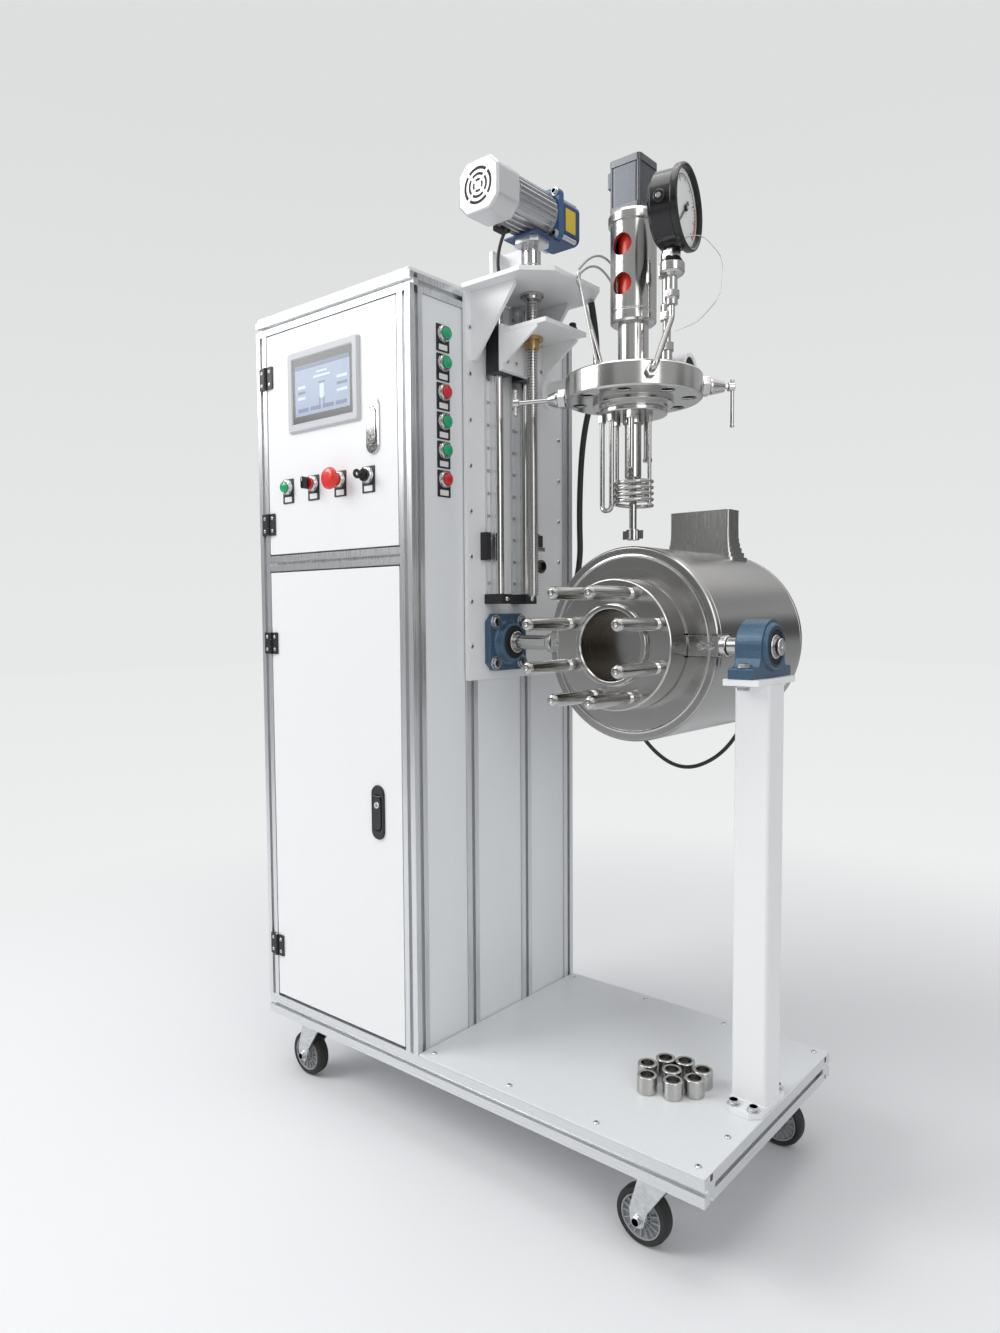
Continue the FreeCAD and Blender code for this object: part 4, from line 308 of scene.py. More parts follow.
rail_x = finish("rail_x", (0.72, 0.73, 0.74), 0.3, 0.92, grain=(6, 1400, 1400), relief=0.1)
rail_z = finish("rail_z", (0.72, 0.73, 0.74), 0.3, 0.92, grain=(1400, 1400, 6), relief=0.1)
for name, paint in (("base_rails", rail_x), ("cabinet_frame", rail_z)):
    for place in nodes[name].material_slots:
        place.material = paint

# Screws and bolts: zinc-plated button heads with a hexagon socket, in the rows that hold down the
# deck and the lift plate, and the hexagon bolts of the bearings and of the post's foot.
polished = finish("polished", (0.6, 0.595, 0.585), 0.1, 1.0, (200, 200, 200), vary=0.03,
                  relief=0.01, gloss=0.03)
zinc = finish("zinc", (0.62, 0.635, 0.65), 0.3, 1.0, (120, 120, 120), vary=0.12, relief=0.03)


def merged(bm, part, paint):
    """Move a part's faces into a piece's mesh, with the finish's number in that piece."""
    bmesh.ops.recalc_face_normals(part, faces=part.faces)
    for face in part.faces:
        face.material_index = paint
    carrier = bpy.data.meshes.new("part")
    part.to_mesh(carrier)
    part.free()
    bm.from_mesh(carrier)
    bpy.data.meshes.remove(carrier)


def facing(place, direction):
    """The turn and place that stand a part drawn upright on a point, along a direction."""
    turned = Vector(direction).to_track_quat("Z", "Y").to_matrix().to_4x4()
    return Matrix.Translation(at(*place)) @ turned


def spin(bm, profile, place, direction=(0, 0, 1), paint=0, steps=48, soften=0.5, closed=False):
    """Turn a profile of (radius, height) about an axis, with its corners rounded off."""
    points = []
    count = len(profile)
    for number, (radius, height) in enumerate(profile):
        here = Vector((radius, height))
        ends = [profile[(number - 1) % count], profile[(number + 1) % count]]
        at_end = not closed and number in (0, count - 1)
        if at_end or radius == 0 or soften == 0:
            points.append(here)
            continue
        steps_in = [Vector(end) - here for end in ends]
        reach = min([soften] + [0.4 * step.length for step in steps_in])
        first = here + steps_in[0].normalized() * reach
        last = here + steps_in[1].normalized() * reach
        points += [first, (first + last) / 4 + here / 2, last]
    part = bmesh.new()
    rings = []
    for point in points:
        radius, height = point.x / 1000, point.y / 1000
        if radius < 1e-7:
            rings.append([part.verts.new((0, 0, height))])
        else:
            rings.append([part.verts.new((radius * math.cos(math.tau * s / steps),
                                          radius * math.sin(math.tau * s / steps), height))
                          for s in range(steps)])
    pairs = list(zip(rings, rings[1:])) + ([(rings[-1], rings[0])] if closed else [])
    for low, high in pairs:
        for s in range(steps):
            n = (s + 1) % steps
            corners = [low[s % len(low)], low[n % len(low)], high[n % len(high)],
                       high[s % len(high)]]
            unique = list(dict.fromkeys(corners))
            if len(unique) > 2:
                part.faces.new(unique)
    for ring in (rings[0], rings[-1]):
        if not closed and len(ring) > 1:
            part.faces.new(ring)
    part.transform(facing(place, direction))
    merged(bm, part, paint)


def slab(bm, outline, thickness, matrix, paint=0, bevel=0.6, segments=2):
    """Raise a flat outline of (u, v) millimetres into a plate with softened edges."""
    part = bmesh.new()
    low = [part.verts.new((u / 1000, v / 1000, 0)) for u, v in outline]
    high = [part.verts.new((u / 1000, v / 1000, thickness / 1000)) for u, v in outline]
    part.faces.new(low[::-1])
    part.faces.new(high)
    count = len(outline)
    for s in range(count):
        part.faces.new((low[s], low[(s + 1) % count], high[(s + 1) % count], high[s]))
    if bevel:
        bmesh.ops.bevel(part, geom=part.edges[:], offset=bevel / 1000, segments=segments,
                        affect="EDGES", profile=0.6, clamp_overlap=True)
    part.transform(matrix)
    merged(bm, part, paint)


def levelled(piece):
    """Weighted normals, which keep large flat faces flat beside their rounded edges."""
    level = piece.modifiers.new("level faces", "WEIGHTED_NORMAL")
    level.keep_sharp = True
    level.weight = 90


SMOOTH_UP_TO = math.radians(32)


def made(name, bm, body, slot_name, *paints):
    """A piece from its mesh: smooth up to an angle, with its finishes, riding on its body."""
    mesh = bpy.data.meshes.new(name)
    bm.to_mesh(mesh)
    bm.free()
    for polygon in mesh.polygons:
        polygon.use_smooth = True
    mesh.set_sharp_from_angle(angle=SMOOTH_UP_TO)
    for paint in paints:
        mesh.materials.append(paint)
    piece = bpy.data.objects.new(name, mesh)
    bpy.context.scene.collection.objects.link(piece)
    levelled(piece)
    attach(piece, body)
    return piece


FRONT = (0, -1, 0)
RIGHT = (1, 0, 0)
UP = (0, 0, 1)
DOWN = (0, 0, -1)


def six_sided(radius):
    """A hexagon's corners about the middle."""
    return [(radius * math.cos(math.pi / 3 * s), radius * math.sin(math.pi / 3 * s))
            for s in range(6)]


def socket_head(bm, place, direction, radius, height, paint=0, dark=1):
    """A button head whose sunk hexagon socket is painted shade: a dark hexagon in a round recess."""
    spin(bm, [(0, height * 0.35), (radius * 0.42, height * 0.35), (radius * 0.45, height),
              (radius * 0.75, height * 0.92), (radius, height * 0.4), (radius, 0), (0, 0)], place,
         direction, paint, 20, 0.25)
    slab(bm, six_sided(radius * 0.4), height * 0.05, facing(place, direction)
         @ Matrix.Translation((0, 0, height * 0.36 / 1000)), dark, 0)


def hex_bolt(bm, place, direction, radius, height, paint=0, washer=1.3):
    """A hexagon head with a turned chamfer on a round washer."""
    base = facing(place, direction)
    spin(bm, [(0, 0), (radius * washer, 0), (radius * washer, 1.6), (0, 1.6)], place, direction,
         paint, 28, 0.3)
    slab(bm, six_sided(radius), height - 1.6, base @ Matrix.Translation((0, 0, 0.0016)), paint, 0.9)
    spin(bm, [(0, height), (radius * 0.78, height), (radius * 0.84, height - 0.6),
              (0, height - 0.6)], place, direction, paint, 24, 0.1)


# Near black: painted shade in sockets, slots and recesses, and the own colour of dark seals and
# plugs.
black_parts_and_painted_hole_shade = finish("black_parts_and_painted_hole_shade", (0.01, 0.01, 0.01), 0.7, grain=(400,) * 3, vary=0.2, relief=0.02)
steel_screws = bmesh.new()
deck_pitch = (970 - 426 - 40) / 3
for column in range(4):
    for y in (20, 440):
        socket_head(steel_screws, (446 + deck_pitch * column, y, 168), UP, 4.6, 2.4)
socket_head(steel_screws, (950, 110, 168), UP, 4.6, 2.4)
for row in range(8):
    for y in (138, 401):
        socket_head(steel_screws, (434, y, 870 + 562 / 7 * row), RIGHT, 4.6, 2.4)
for y in (-1, 1):
    for z in (-1, 1):
        hex_bolt(steel_screws, (448, 226 + 37.8 * y, 876 + 37.8 * z), RIGHT, 10, 7)
    hex_bolt(steel_screws, (940, 226 + 57 * y, 846), UP, 10, 7, washer=1.15)
    hex_bolt(steel_screws, (940, 226 + 57 * y, 820), DOWN, 10, 7, washer=1.15)
    for x in (-16, 16):
        hex_bolt(steel_screws, (940 + x, 226 + 43 * y, 178), UP, 8, 7)
screws = made("screws_and_bolts", steel_screws, "base", "zinc", zinc, black_parts_and_painted_hole_shade)
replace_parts(screws, "screws")
tongue_screws = bmesh.new()
for way in (-1, 1):
    for step in (0.3, 0.72):
        x = 716 + way * (122 + 36 * step)
        spin(tongue_screws, [(0, 3), (3, 3), (3, 6), (6, 6), (6, 0), (0, 0)], (x, 213, 876), FRONT,
             0, 24, 0.5)
made("tongue_screws", tongue_screws, "vessel", "zinc", polished, black_parts_and_painted_hole_shade)

# Casters: zinc-plated pressed forks on ball swivels under four-hole plates, with grey ribbed nylon
# hubs and black rubber treads on a bolted axle.
tyre_rubber = finish("tyre_rubber", (0.018, 0.018, 0.018), 0.62, grain=(500,) * 3, vary=0.3,
                     relief=0.15)
hub_grey = finish("hub_grey", (0.32, 0.33, 0.34), 0.45, grain=(900,) * 3, vary=0.06, relief=0.06)


def arc(radius, start, sweep, steps, centre=(0, 0)):
    """Points along an arc of a flat outline, with its angles in degrees."""
    angles = [math.radians(start + sweep * s / steps) for s in range(steps + 1)]
    return [(centre[0] + radius * math.cos(a), centre[1] + radius * math.sin(a)) for a in angles]


def rounded(width, height, radius, steps=6, centre=(0, 0)):
    """The outline of a rectangle with round corners, about a centre."""
    points = []
    for quarter in range(4):
        cu = (width / 2 - radius) * (1 if quarter in (0, 3) else -1) + centre[0]
        cv = (height / 2 - radius) * (1 if quarter in (0, 1) else -1) + centre[1]
        for step in range(steps + 1):
            angle = math.pi / 2 * (quarter + step / steps)
            points.append((cu + radius * math.cos(angle), cv + radius * math.sin(angle)))
    return points


BACK = (0, 1, 0)
# Turns a plate that is drawn as seen from the front, raised towards the eye.
SEEN_FRONT = Matrix(((1, 0, 0), (0, 0, -1), (0, 1, 0))).to_4x4()


def standing(place, seen):
    """The place of a plate that is drawn as seen from one side."""
    return Matrix.Translation(at(*place)) @ seen


def copies_on_points():
    """A tree that puts a copy on every point, each turned a step further about Z than the last."""
    tree = bpy.data.node_groups.new("copies_on_points", "GeometryNodeTree")
    face = tree.interface
    face.new_socket("Points", in_out="INPUT", socket_type="NodeSocketGeometry")
    face.new_socket("Copied piece", in_out="INPUT", socket_type="NodeSocketObject")
    face.new_socket("Turn per copy", in_out="INPUT", socket_type="NodeSocketFloat")
    face.new_socket("Finish", in_out="INPUT", socket_type="NodeSocketMaterial")
    face.new_socket("Copies", in_out="OUTPUT", socket_type="NodeSocketGeometry")
    entry = node(tree, "NodeGroupInput").outputs
    pattern = node(tree, "GeometryNodeObjectInfo", {"Object": entry["Copied piece"]})
    order = node(tree, "GeometryNodeInputIndex").outputs[0]
    times = node(tree, "ShaderNodeMath", {0: order, 1: entry["Turn per copy"]},
                 operation="MULTIPLY")
    about = node(tree, "ShaderNodeCombineXYZ", {"Z": times.outputs[0]})
    placed = node(tree, "GeometryNodeInstanceOnPoints", {
        "Points": entry["Points"], "Instance": pattern.outputs["Geometry"],
        "Rotation": about.outputs[0]})
    real = node(tree, "GeometryNodeRealizeInstances", {0: placed.outputs[0]})
    painted = node(tree, "GeometryNodeSetMaterial", {
        "Geometry": real.outputs[0], "Material": entry["Finish"]})
    node(tree, "NodeGroupOutput", {0: painted.outputs[0]})
    return tree


copies = copies_on_points()


def repeat(bm, template, points, matrix, paint=0, turn_each=0.0):
    """Copies of a small template mesh on points, made by the tree and added to a piece's mesh."""
    bmesh.ops.recalc_face_normals(template, faces=template.faces)
    mesh = bpy.data.meshes.new("template")
    template.to_mesh(mesh)
    template.free()
    pattern = bpy.data.objects.new("template", mesh)
    bpy.context.scene.collection.objects.link(pattern)
    dots = bpy.data.meshes.new("dots")
    dots.from_pydata(points, [], [])
    holder = bpy.data.objects.new("holder", dots)
    bpy.context.scene.collection.objects.link(holder)
    modifier = holder.modifiers.new("copies", "NODES")
    modifier.node_group = copies
    values = {"Copied piece": pattern, "Turn per copy": turn_each, "Finish": zinc}
    for item in copies.interface.items_tree:
        if item.in_out == "INPUT" and item.name in values:
            modifier[item.identifier] = values[item.name]
    bpy.context.view_layer.update()
    graph = bpy.context.evaluated_depsgraph_get()
    result = bpy.data.meshes.new_from_object(holder.evaluated_get(graph))
    holder.modifiers.remove(modifier)
    part = bmesh.new()
    part.from_mesh(result)
    part.transform(matrix)
    merged(bm, part, paint)
    bpy.data.objects.remove(holder)
    bpy.data.objects.remove(pattern)
    bpy.data.meshes.remove(result)


def ring_points(count, radius, start=0.0):
    """Points in metres, evenly round a circle of a radius in millimetres."""
    return [(radius / 1000 * math.cos(start + math.tau * s / count),
             radius / 1000 * math.sin(start + math.tau * s / count), 0) for s in range(count)]


def template_brick(low, high, turned_by=0.0):
    """A small block in metres, between two corners in millimetres, to be repeated."""
    part = bmesh.new()
    bmesh.ops.create_cube(part, size=1)
    for vertex in part.verts:
        vertex.co = Vector([(low[k] + high[k]) / 2 + vertex.co[k] * (high[k] - low[k])
                            for k in range(3)]) / 1000
    part.transform(Matrix.Rotation(turned_by, 4, "Z"))
    return part


CASTERS = [(95, 47, -1), (875, 47, -1), (95, 413, -1), (875, 413, 1)]
caster_plates = bmesh.new()
for number, (x, y, way) in enumerate(CASTERS, 1):
    slab(caster_plates, rounded(92, 72, 7), 3.5, standing((x, y, 121.5), Matrix()), 0, 0.5)
    spin(caster_plates, [(0, -9), (6.9, -9), (6.9, 0), (0, 0)], (x, y, 121.4), UP, 0, 24)
    for across in (-1, 1):
        for back in (-1, 1):
            hex_bolt(caster_plates, (x + 36 * across, y + 27 * back, 121.5), DOWN, 6, 5.5)
    axle_x = x + way * 26
    fork = bmesh.new()
    spin(fork, [(7.2, 109), (7.2, 121), (19, 121), (25, 117.5), (25, 113), (21, 109)], (x, y, 0),
         UP, 0, 48, 1.2, closed=True)
    crown = rounded(50, 38, 8)
    slab(fork, crown, 3, standing((x, y, 106.2), Matrix()), 0, 0.9)
    for flank in (-1, 1):
        outline = [(-25, 0), (25, 0), (way * 26 + 15, -50), (way * 26 + 12, -66)]
        outline += arc(12, 0, -180, 8, (way * 26, -66))[1:8]
        outline += [(way * 26 - 12, -66), (way * 26 - 14, -52)]
        slab(fork, outline, 3, standing((x, y + 18 * flank, 109), SEEN_FRONT), 0, 0.9)
    for flank, direction in ((-1, FRONT), (1, BACK)):
        reach = 21 if flank < 0 else 18
        hex_bolt(fork, (axle_x, y + flank * reach, 43), direction, 7.6, 6)
    spin(fork, [(0, -20), (3.9, -20), (3.9, 20), (0, 20)], (axle_x, y, 43), BACK, 0, 20)
    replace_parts(made(f"fork_{number}", fork, f"caster_fork_{number}_body", "zinc", zinc),
                f"caster_fork_{number}")
    wheel = bmesh.new()
    spin(wheel, [(33, -10), (34, -12.4), (38.5, -12.8), (41.6, -10.5), (43, -6.5), (43, 6.5),
                 (41.6, 10.5), (38.5, 12.8), (34, 12.4), (33, 10)], (axle_x, y, 43), BACK, 0, 64,
         0.8, closed=True)
    spin(wheel, [(4.1, -13.8), (10.5, -13.8), (11, -8), (24, -6.5), (29.5, -7.5), (31, -11.6),
                 (33.2, -11.6), (33.2, 11.6), (31, 11.6), (29.5, 7.5), (24, 6.5), (11, 8),
                 (10.5, 13.8), (4.1, 13.8)], (axle_x, y, 43), BACK, 1, 56, 0.6, closed=True)
    for flank in (-1, 1):
        low, high = (-10.8, -6.4) if flank < 0 else (6.4, 10.8)
        repeat(wheel, template_brick((-10, -0.9, low), (10, 0.9, high)), ring_points(16, 20.5),
               facing((axle_x, y, 43), BACK), 1, math.tau / 16)
        spin(wheel, [(16.5, low), (18, low), (18, high), (16.5, high)], (axle_x, y, 43), BACK, 1,
             40, 0.2, closed=True)
    tyre = made(f"wheel_{number}", wheel, f"caster_wheel_{number}_body", "tyre", tyre_rubber,
                hub_grey)
    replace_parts(tyre, f"caster_wheel_{number}")
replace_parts(made("caster_top_plates", caster_plates, "base", "zinc", zinc), "caster_plates")

# Closure nuts: eight turned stainless sleeves for the vessel's studs, which lie loose on the deck
# beside the post.
steel_plain = finish("steel_plain", (0.52, 0.515, 0.5), 0.17, 1.0, (260, 260, 260), vary=0.06,
                     relief=0.02)
closure_nuts = bmesh.new()
NUT_SPOTS = [(775, 179), (789, 213), (819, 224), (816, 186), (794, 146), (855, 216), (834, 157),
             (857, 184)]
for x, y in NUT_SPOTS:
    spin(closure_nuts, [(10.8, 0), (15, 0), (16, 1.2), (16, 26.8), (15, 28), (10.8, 28)],
         (x, y, 168.1), UP, 0, 48, 0.6, closed=True)
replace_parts(made("nuts_on_deck", closure_nuts, "base", "stainless", steel_plain), "closure_nuts")

# Doors: folded and powder-coated sheet trays on black block hinges, each leaf held by two
# countersunk screws. The upper latch is a polished oval pull, the lower one black with a lock.
bright_white = finish("bright_white", (0.86, 0.865, 0.87), 0.34, grain=(700,) * 3, vary=0.012,
                      relief=0.05)
black_plastic = finish("black_plastic", (0.014, 0.014, 0.016), 0.4, grain=(1200,) * 3, vary=0.3,
                       relief=0.1)
black_gloss = finish("black_gloss", (0.01, 0.01, 0.011), 0.16, grain=(300,) * 3, vary=0.2,
                     relief=0.01, gloss=0.04)


def hollow_frame(bm, outlines, matrix, paint=0):
    """A closed skin through flat outlines of (points, height), the last joined to the first."""
    part = bmesh.new()
    rings = [[part.verts.new((u / 1000, v / 1000, height / 1000)) for u, v in outline]
             for outline, height in outlines]
    for near, far in zip(rings, rings[1:] + rings[:1]):
        for s in range(len(near)):
            n = (s + 1) % len(near)
            part.faces.new((near[s], near[n], far[n], far[s]))
    part.transform(matrix)
    merged(bm, part, paint)


def brick(bm, low, high, paint=0, bevel=0.8, segments=2):
    """A block between two corners with softened edges."""
    outline = [(0, 0), (high[0] - low[0], 0), (high[0] - low[0], high[1] - low[1]),
               (0, high[1] - low[1])]
    slab(bm, outline, high[2] - low[2], Matrix.Translation(at(*low)), paint, bevel, segments)


def door_tray(bm, low, tall):
    """A leaf of sheet with its four folded edges."""
    brick(bm, (32.6, 0, low), (393.4, 2, low + tall), 0, 0.9, 3)
    for left, right in ((32.6, 34.6), (391.4, 393.4)):
        brick(bm, (left, 1.5, low + 1), (right, 18, low + tall - 1), 0, 0.4)
    for bottom in (low, low + tall - 2):
        brick(bm, (34, 1.5, bottom), (392, 18, bottom + 2), 0, 0.4)


def hinge_half(bm, low, left, knuckles):
    """One leaf of a hinge with its knuckles and its two screws."""
    slab(bm, rounded(16, 42, 1.5, 3), 3.1, standing((left + 8, 0, low + 21), SEEN_FRONT), 1, 0.7)
    for start, end in knuckles:
        spin(bm, [(2.1, start), (3.6, start), (3.6, end), (2.1, end)], (31.3, -3.9, low), UP, 1, 28,
             0.4, closed=True)
        ends = (left + 15, 31.3) if left < 31 else (31.3, left + 1)
        brick(bm, (ends[0], -3.1, low + start), (ends[1], -0.4, low + end), 1, 0.3)
    for z in (9, 33):
        socket_head(bm, (left + 8, -3.1, low + z), FRONT, 3.4, 1.3, 2, 3)


def latch_frame(bm, low, paint):
    """The oval frame that a latch lies in."""
    outer = rounded(32, 97, 15.6, 10)
    inner = rounded(21.4, 63.4, 9, 10)
    hollow_frame(bm, [(outer, 0), (outer, 2.2), (rounded(29, 94, 14.2, 10), 4),
                      (rounded(24, 66, 10.3, 10), 4), (inner, 2.6), (inner, 0)],
                 standing((334, 0, low + 48.5), SEEN_FRONT), paint)


for name, low, tall, hinges, latch_low, frame_paint in (
        ("upper", 1045.6, 416.8, (1082.6, 1362.4), 1205, polished),
        ("lower", 170.6, 839.8, (249.6, 852.4), 530, black_gloss)):
    door_mesh = bmesh.new()
    door_tray(door_mesh, low, tall)
    for height in hinges:
        hinge_half(door_mesh, height, 35.2, [(14.4, 27.6)])
    latch_frame(door_mesh, latch_low, 4)
    # A dark block in the latch frame's opening behind the lever: painted shade of the recess.
    brick(door_mesh, (323.5, -0.4, latch_low + 17), (344.5, 0.2, latch_low + 80), 3, 0)
    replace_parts(made(f"{name}_door_tray", door_mesh, f"{name}_door_body", "white_sheet",
                     bright_white, black_plastic, zinc, black_parts_and_painted_hole_shade, frame_paint), f"{name}_door")
    lever = bmesh.new()
    grip = standing((334, -0.9, latch_low + 48.5), SEEN_FRONT)
    slab(lever, rounded(20, 59.5, 8.6, 10, (0, -1.2)), 4.2, grip, 0, 1.4, 3)
    spin(lever, [(0, -9.6), (2.4, -9.6), (2.4, 9.6), (0, 9.6)], (334, -2.8, latch_low + 77), RIGHT,
         0, 20, 0.5)
    if name == "lower":
        spin(lever, [(0, 0.9), (2.4, 0.9), (2.8, 1.2), (5.6, 1.2), (6.2, 0), (0, 0)],
             (334, -5.1, latch_low + 62), FRONT, 1, 32, 0.3)
        # The keyhole is a thin dark slot of painted shade.
        slab(lever, rounded(1.4, 6, 0.6, 2), 0.4, standing((334, -5.8, latch_low + 62), SEEN_FRONT),
             2, 0)
    else:
        inlay = standing((334, -4.9, latch_low + 48.5), SEEN_FRONT)
        slab(lever, rounded(12, 30, 5.6, 8, (0, -4)), 0.5, inlay, 0, 0.3)
    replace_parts(made(f"{name}_door_latch_lever", lever, f"{name}_latch_body", "bright", frame_paint,
                     polished, black_parts_and_painted_hole_shade), f"{name}_latch")

post_hinges = bmesh.new()
for height in (1082.6, 1362.4, 249.6, 852.4):
    hinge_half(post_hinges, height, 11.4, [(0, 14), (28, 42)])
    spin(post_hinges, [(0, -0.4), (1.9, -0.4), (1.9, 42.4), (0, 42.4)], (31.3, -3.9, height), UP, 2,
         20, 0.3)
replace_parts(made("hinges_on_post", post_hinges, "base", "bright", bright_white, black_plastic, zinc,
                 black_parts_and_painted_hole_shade), "hinge_leaves")

# Controls: black legend plates with a bare white insert, chromed collars, and moulded caps in green
# and red. The front row has a button, a selector, a mushroom head and a key switch.
bright_red = finish("bright_red", (0.72, 0.02, 0.015), 0.28, grain=(400,) * 3, vary=0.04,
                    relief=0.01, coat=0.4)
# Turns a plate that is drawn as seen from the right side, raised towards the eye.
SEEN_RIGHT = Matrix(((0, 0, 1), (1, 0, 0), (0, 1, 0))).to_4x4()
green_lens = finish("green_lens", (0.0, 0.36, 0.15), 0.22, grain=(300,) * 3, vary=0.05, relief=0.01,
                    coat=0.5)
red_lens = finish("red_lens", (0.62, 0.008, 0.02), 0.22, grain=(300,) * 3, vary=0.05, relief=0.01,
                  coat=0.5)
label_white = finish("label_white", (0.8, 0.8, 0.8), 0.5, grain=(900,) * 3, vary=0.02, relief=0.02)


def bezel(bm, place, seen, direction, through):
    """A legend plate with a collar, and the switch behind it where it goes through the door."""
    slab(bm, rounded(32, 46, 1.6, 3, (0, -7)), 1.6, standing(place, seen), 0, 0.4)
    raised = standing(place, seen) @ Matrix.Translation((0, 0, 0.0015))
    slab(bm, rounded(21, 9.5, 0.8, 2, (0, -22.5)), 0.35, raised, 2, 0.1)
    spin(bm, [(10.75, 1.6), (10.75, 10.1), (11.5, 10.6), (12.5, 10.4), (13.1, 8.4), (13.9, 7.4),
              (14.1, 4.4), (14.5, 4), (14.5, 1.6)], place, direction, 1, 48, 0.25, closed=True)
    spin(bm, [(0, 1.6), (10.8, 1.6), (10.8, 1.9), (0, 1.9)], place, direction, 0, 24, 0)
    if through:
        spin(bm, [(0, -32), (10.9, -32), (10.9, -4), (14, -4), (14, -2.2), (10.9, -2.2),
                  (10.9, 1.6), (0, 1.6)], place, direction, 0, 32, 0.5)


front_controls = bmesh.new()
for x in (94, 169.5, 245, 320.5):
    bezel(front_controls, (x, 0, 1170), SEEN_FRONT, FRONT, True)
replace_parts(made("front_control_bezels", front_controls, "upper_door_body", "black", black_plastic,
                 polished, label_white), "front_bezels")
side_controls = bmesh.new()
for number in range(6):
    bezel(side_controls, (423, 81, 1161 + 49.6 * number), SEEN_RIGHT, RIGHT, False)
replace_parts(made("side_control_bezels", side_controls, "base", "black", black_plastic, polished,
                 label_white), "side_bezels")


def cap(name, body, place, direction, paint, slot_name):
    """A push button's lens cap, on its own body."""
    bm = bmesh.new()
    spin(bm, [(0, 6.2), (10.3, 6.2), (10.3, 12.2), (9.6, 13.8), (8.9, 13.9), (8.4, 13.4),
              (7.9, 13.6), (5, 14.9), (0, 15.2)], place, direction, 0, 48, 0.5)
    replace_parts(made(name, bm, body, slot_name, paint), body.removesuffix("_body"))


cap("green_start_cap", "start_button_body", (94, 0, 1170), FRONT, green_lens, "green")
for number, paint, slot_name in ((1, red_lens, "red"), (2, green_lens, "green"),
                                 (3, green_lens, "green"), (4, red_lens, "red"),
                                 (5, green_lens, "green"), (6, green_lens, "green")):
    cap(f"side_cap_{number}", f"side_button_{number}_body", (423, 81, 1161 + 49.6 * (number - 1)),
        RIGHT, paint, slot_name)
selector = bmesh.new()
spin(selector, [(0, 1.95), (10.3, 1.95), (10.3, 10.95), (11.5, 10.95), (11.5, 14), (10.8, 15),
                (0, 15)], (169.5, 0, 1170), FRONT, 0, 48, 0.5)
slab(selector, rounded(8, 21.8, 3.2, 6), 13, standing((169.5, -14.8, 1170), SEEN_FRONT), 1, 1.2, 3)
slab(selector, rounded(1.2, 7, 0.5, 2, (0, 6)), 0.4, standing((169.5, -27.7, 1170), SEEN_FRONT), 2,
     0.1)
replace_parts(made("selector_grip", selector, "selector_knob_body", "black", red_lens, black_gloss,
                 label_white), "selector_knob")
mushroom = bmesh.new()
spin(mushroom, [(0, 6.2), (10.3, 6.2), (10.3, 20), (15.4, 20), (18.6, 21.6), (20, 24.6),
                (19.4, 28.2), (16.8, 31.2), (12, 32.6), (0, 33)], (245, 0, 1170), FRONT, 0, 64, 1.2)
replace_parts(made("mushroom_head", mushroom, "emergency_stop_body", "red", bright_red),
            "emergency_stop")
key = bmesh.new()
spin(key, [(0, 1.95), (10.3, 1.95), (10.3, 10.95), (11.5, 10.95), (11.5, 13.4), (10.6, 14),
           (0, 14)], (320.5, 0, 1170), FRONT, 0, 48, 0.4)
brick(key, (319.3, -21, 1166.5), (321.7, -13.8, 1173.5), 1, 0.5)
spin(key, [(2.6, 0), (8, 0), (8.3, 0.6), (8.3, 1.8), (8, 2.4), (2.6, 2.4)], (319.3, -27.4, 1170),
     RIGHT, 0, 40, 0.3, closed=True)
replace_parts(made("key_in_switch", key, "switch_key_body", "bright", black_gloss, polished),
            "switch_key")

# Touch panel: a light grey moulded frame with a bevelled opening round a dark glass, and behind it
# a lit screen of plain blocks without words.
grey_plastic = finish("grey_plastic", (0.56, 0.57, 0.59), 0.42, grain=(1500,) * 3, vary=0.03,
                      relief=0.08)
screen_glow = finish("screen_glow", (0.23, 0.3, 0.43), 0.16, grain=(40,) * 3, vary=0.05, relief=0.0,
                     gloss=0.02)
screen_pale = finish("screen_pale", (0.52, 0.6, 0.68), 0.16, grain=(40,) * 3, vary=0.04, relief=0.0,
                     gloss=0.02)
screen_deep = finish("screen_deep", (0.07, 0.11, 0.2), 0.16, grain=(40,) * 3, vary=0.04, relief=0.0,
                     gloss=0.02)
touch = bmesh.new()
PANEL_SEAT = standing((202.5, 0, 1342), SEEN_FRONT)
PANEL_RINGS = [(199, 148, 5, 0), (199, 148, 5, 3.4), (193, 142, 5, 6.9), (173, 122, 2, 6.9),
               (168, 117, 1, 4.9), (168, 117, 1, 0)]
outlines = [(rounded(wide, tall, corner, 6), out) for wide, tall, corner, out in PANEL_RINGS]
hollow_frame(touch, outlines, PANEL_SEAT)
slab(touch, rounded(168.4, 117.4, 1, 2), 4.6, PANEL_SEAT, 1, 0)
brick(touch, (110.5, 0, 1275.5), (294.5, 34, 1408.5), 0, 0.8)
glass = standing((202.5, -4.6, 1342), SEEN_FRONT)
slab(touch, rounded(154, 92, 0.5, 2), 0.12, glass, 2, 0)
for u, v, wide, tall, paint in ((0, 42, 154, 8, 4), (0, 20, 46, 4, 3), (0, 28, 30, 3, 3),
                                (-58, 6, 22, 5, 3), (-58, -4, 22, 5, 4), (-58, -14, 22, 5, 3),
                                (56, 10, 28, 5, 3), (56, -2, 28, 5, 4), (56, -14, 28, 5, 3),
                                (0, -8, 12, 26, 3), (0, 8, 20, 3, 4), (-6, -26, 3, 14, 4),
                                (6, -26, 3, 14, 4), (-54, -36, 30, 7, 4), (-18, -36, 30, 7, 4),
                                (18, -36, 30, 7, 4), (54, -36, 30, 7, 4)):
    slab(touch, rounded(wide, tall, 0.6, 2, (u, v)), 0.2, glass, paint, 0)
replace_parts(made("touch_panel_frame", touch, "upper_door_body", "grey_plastic", grey_plastic,
                 black_gloss, screen_glow, screen_pale, screen_deep), "touch_panel")

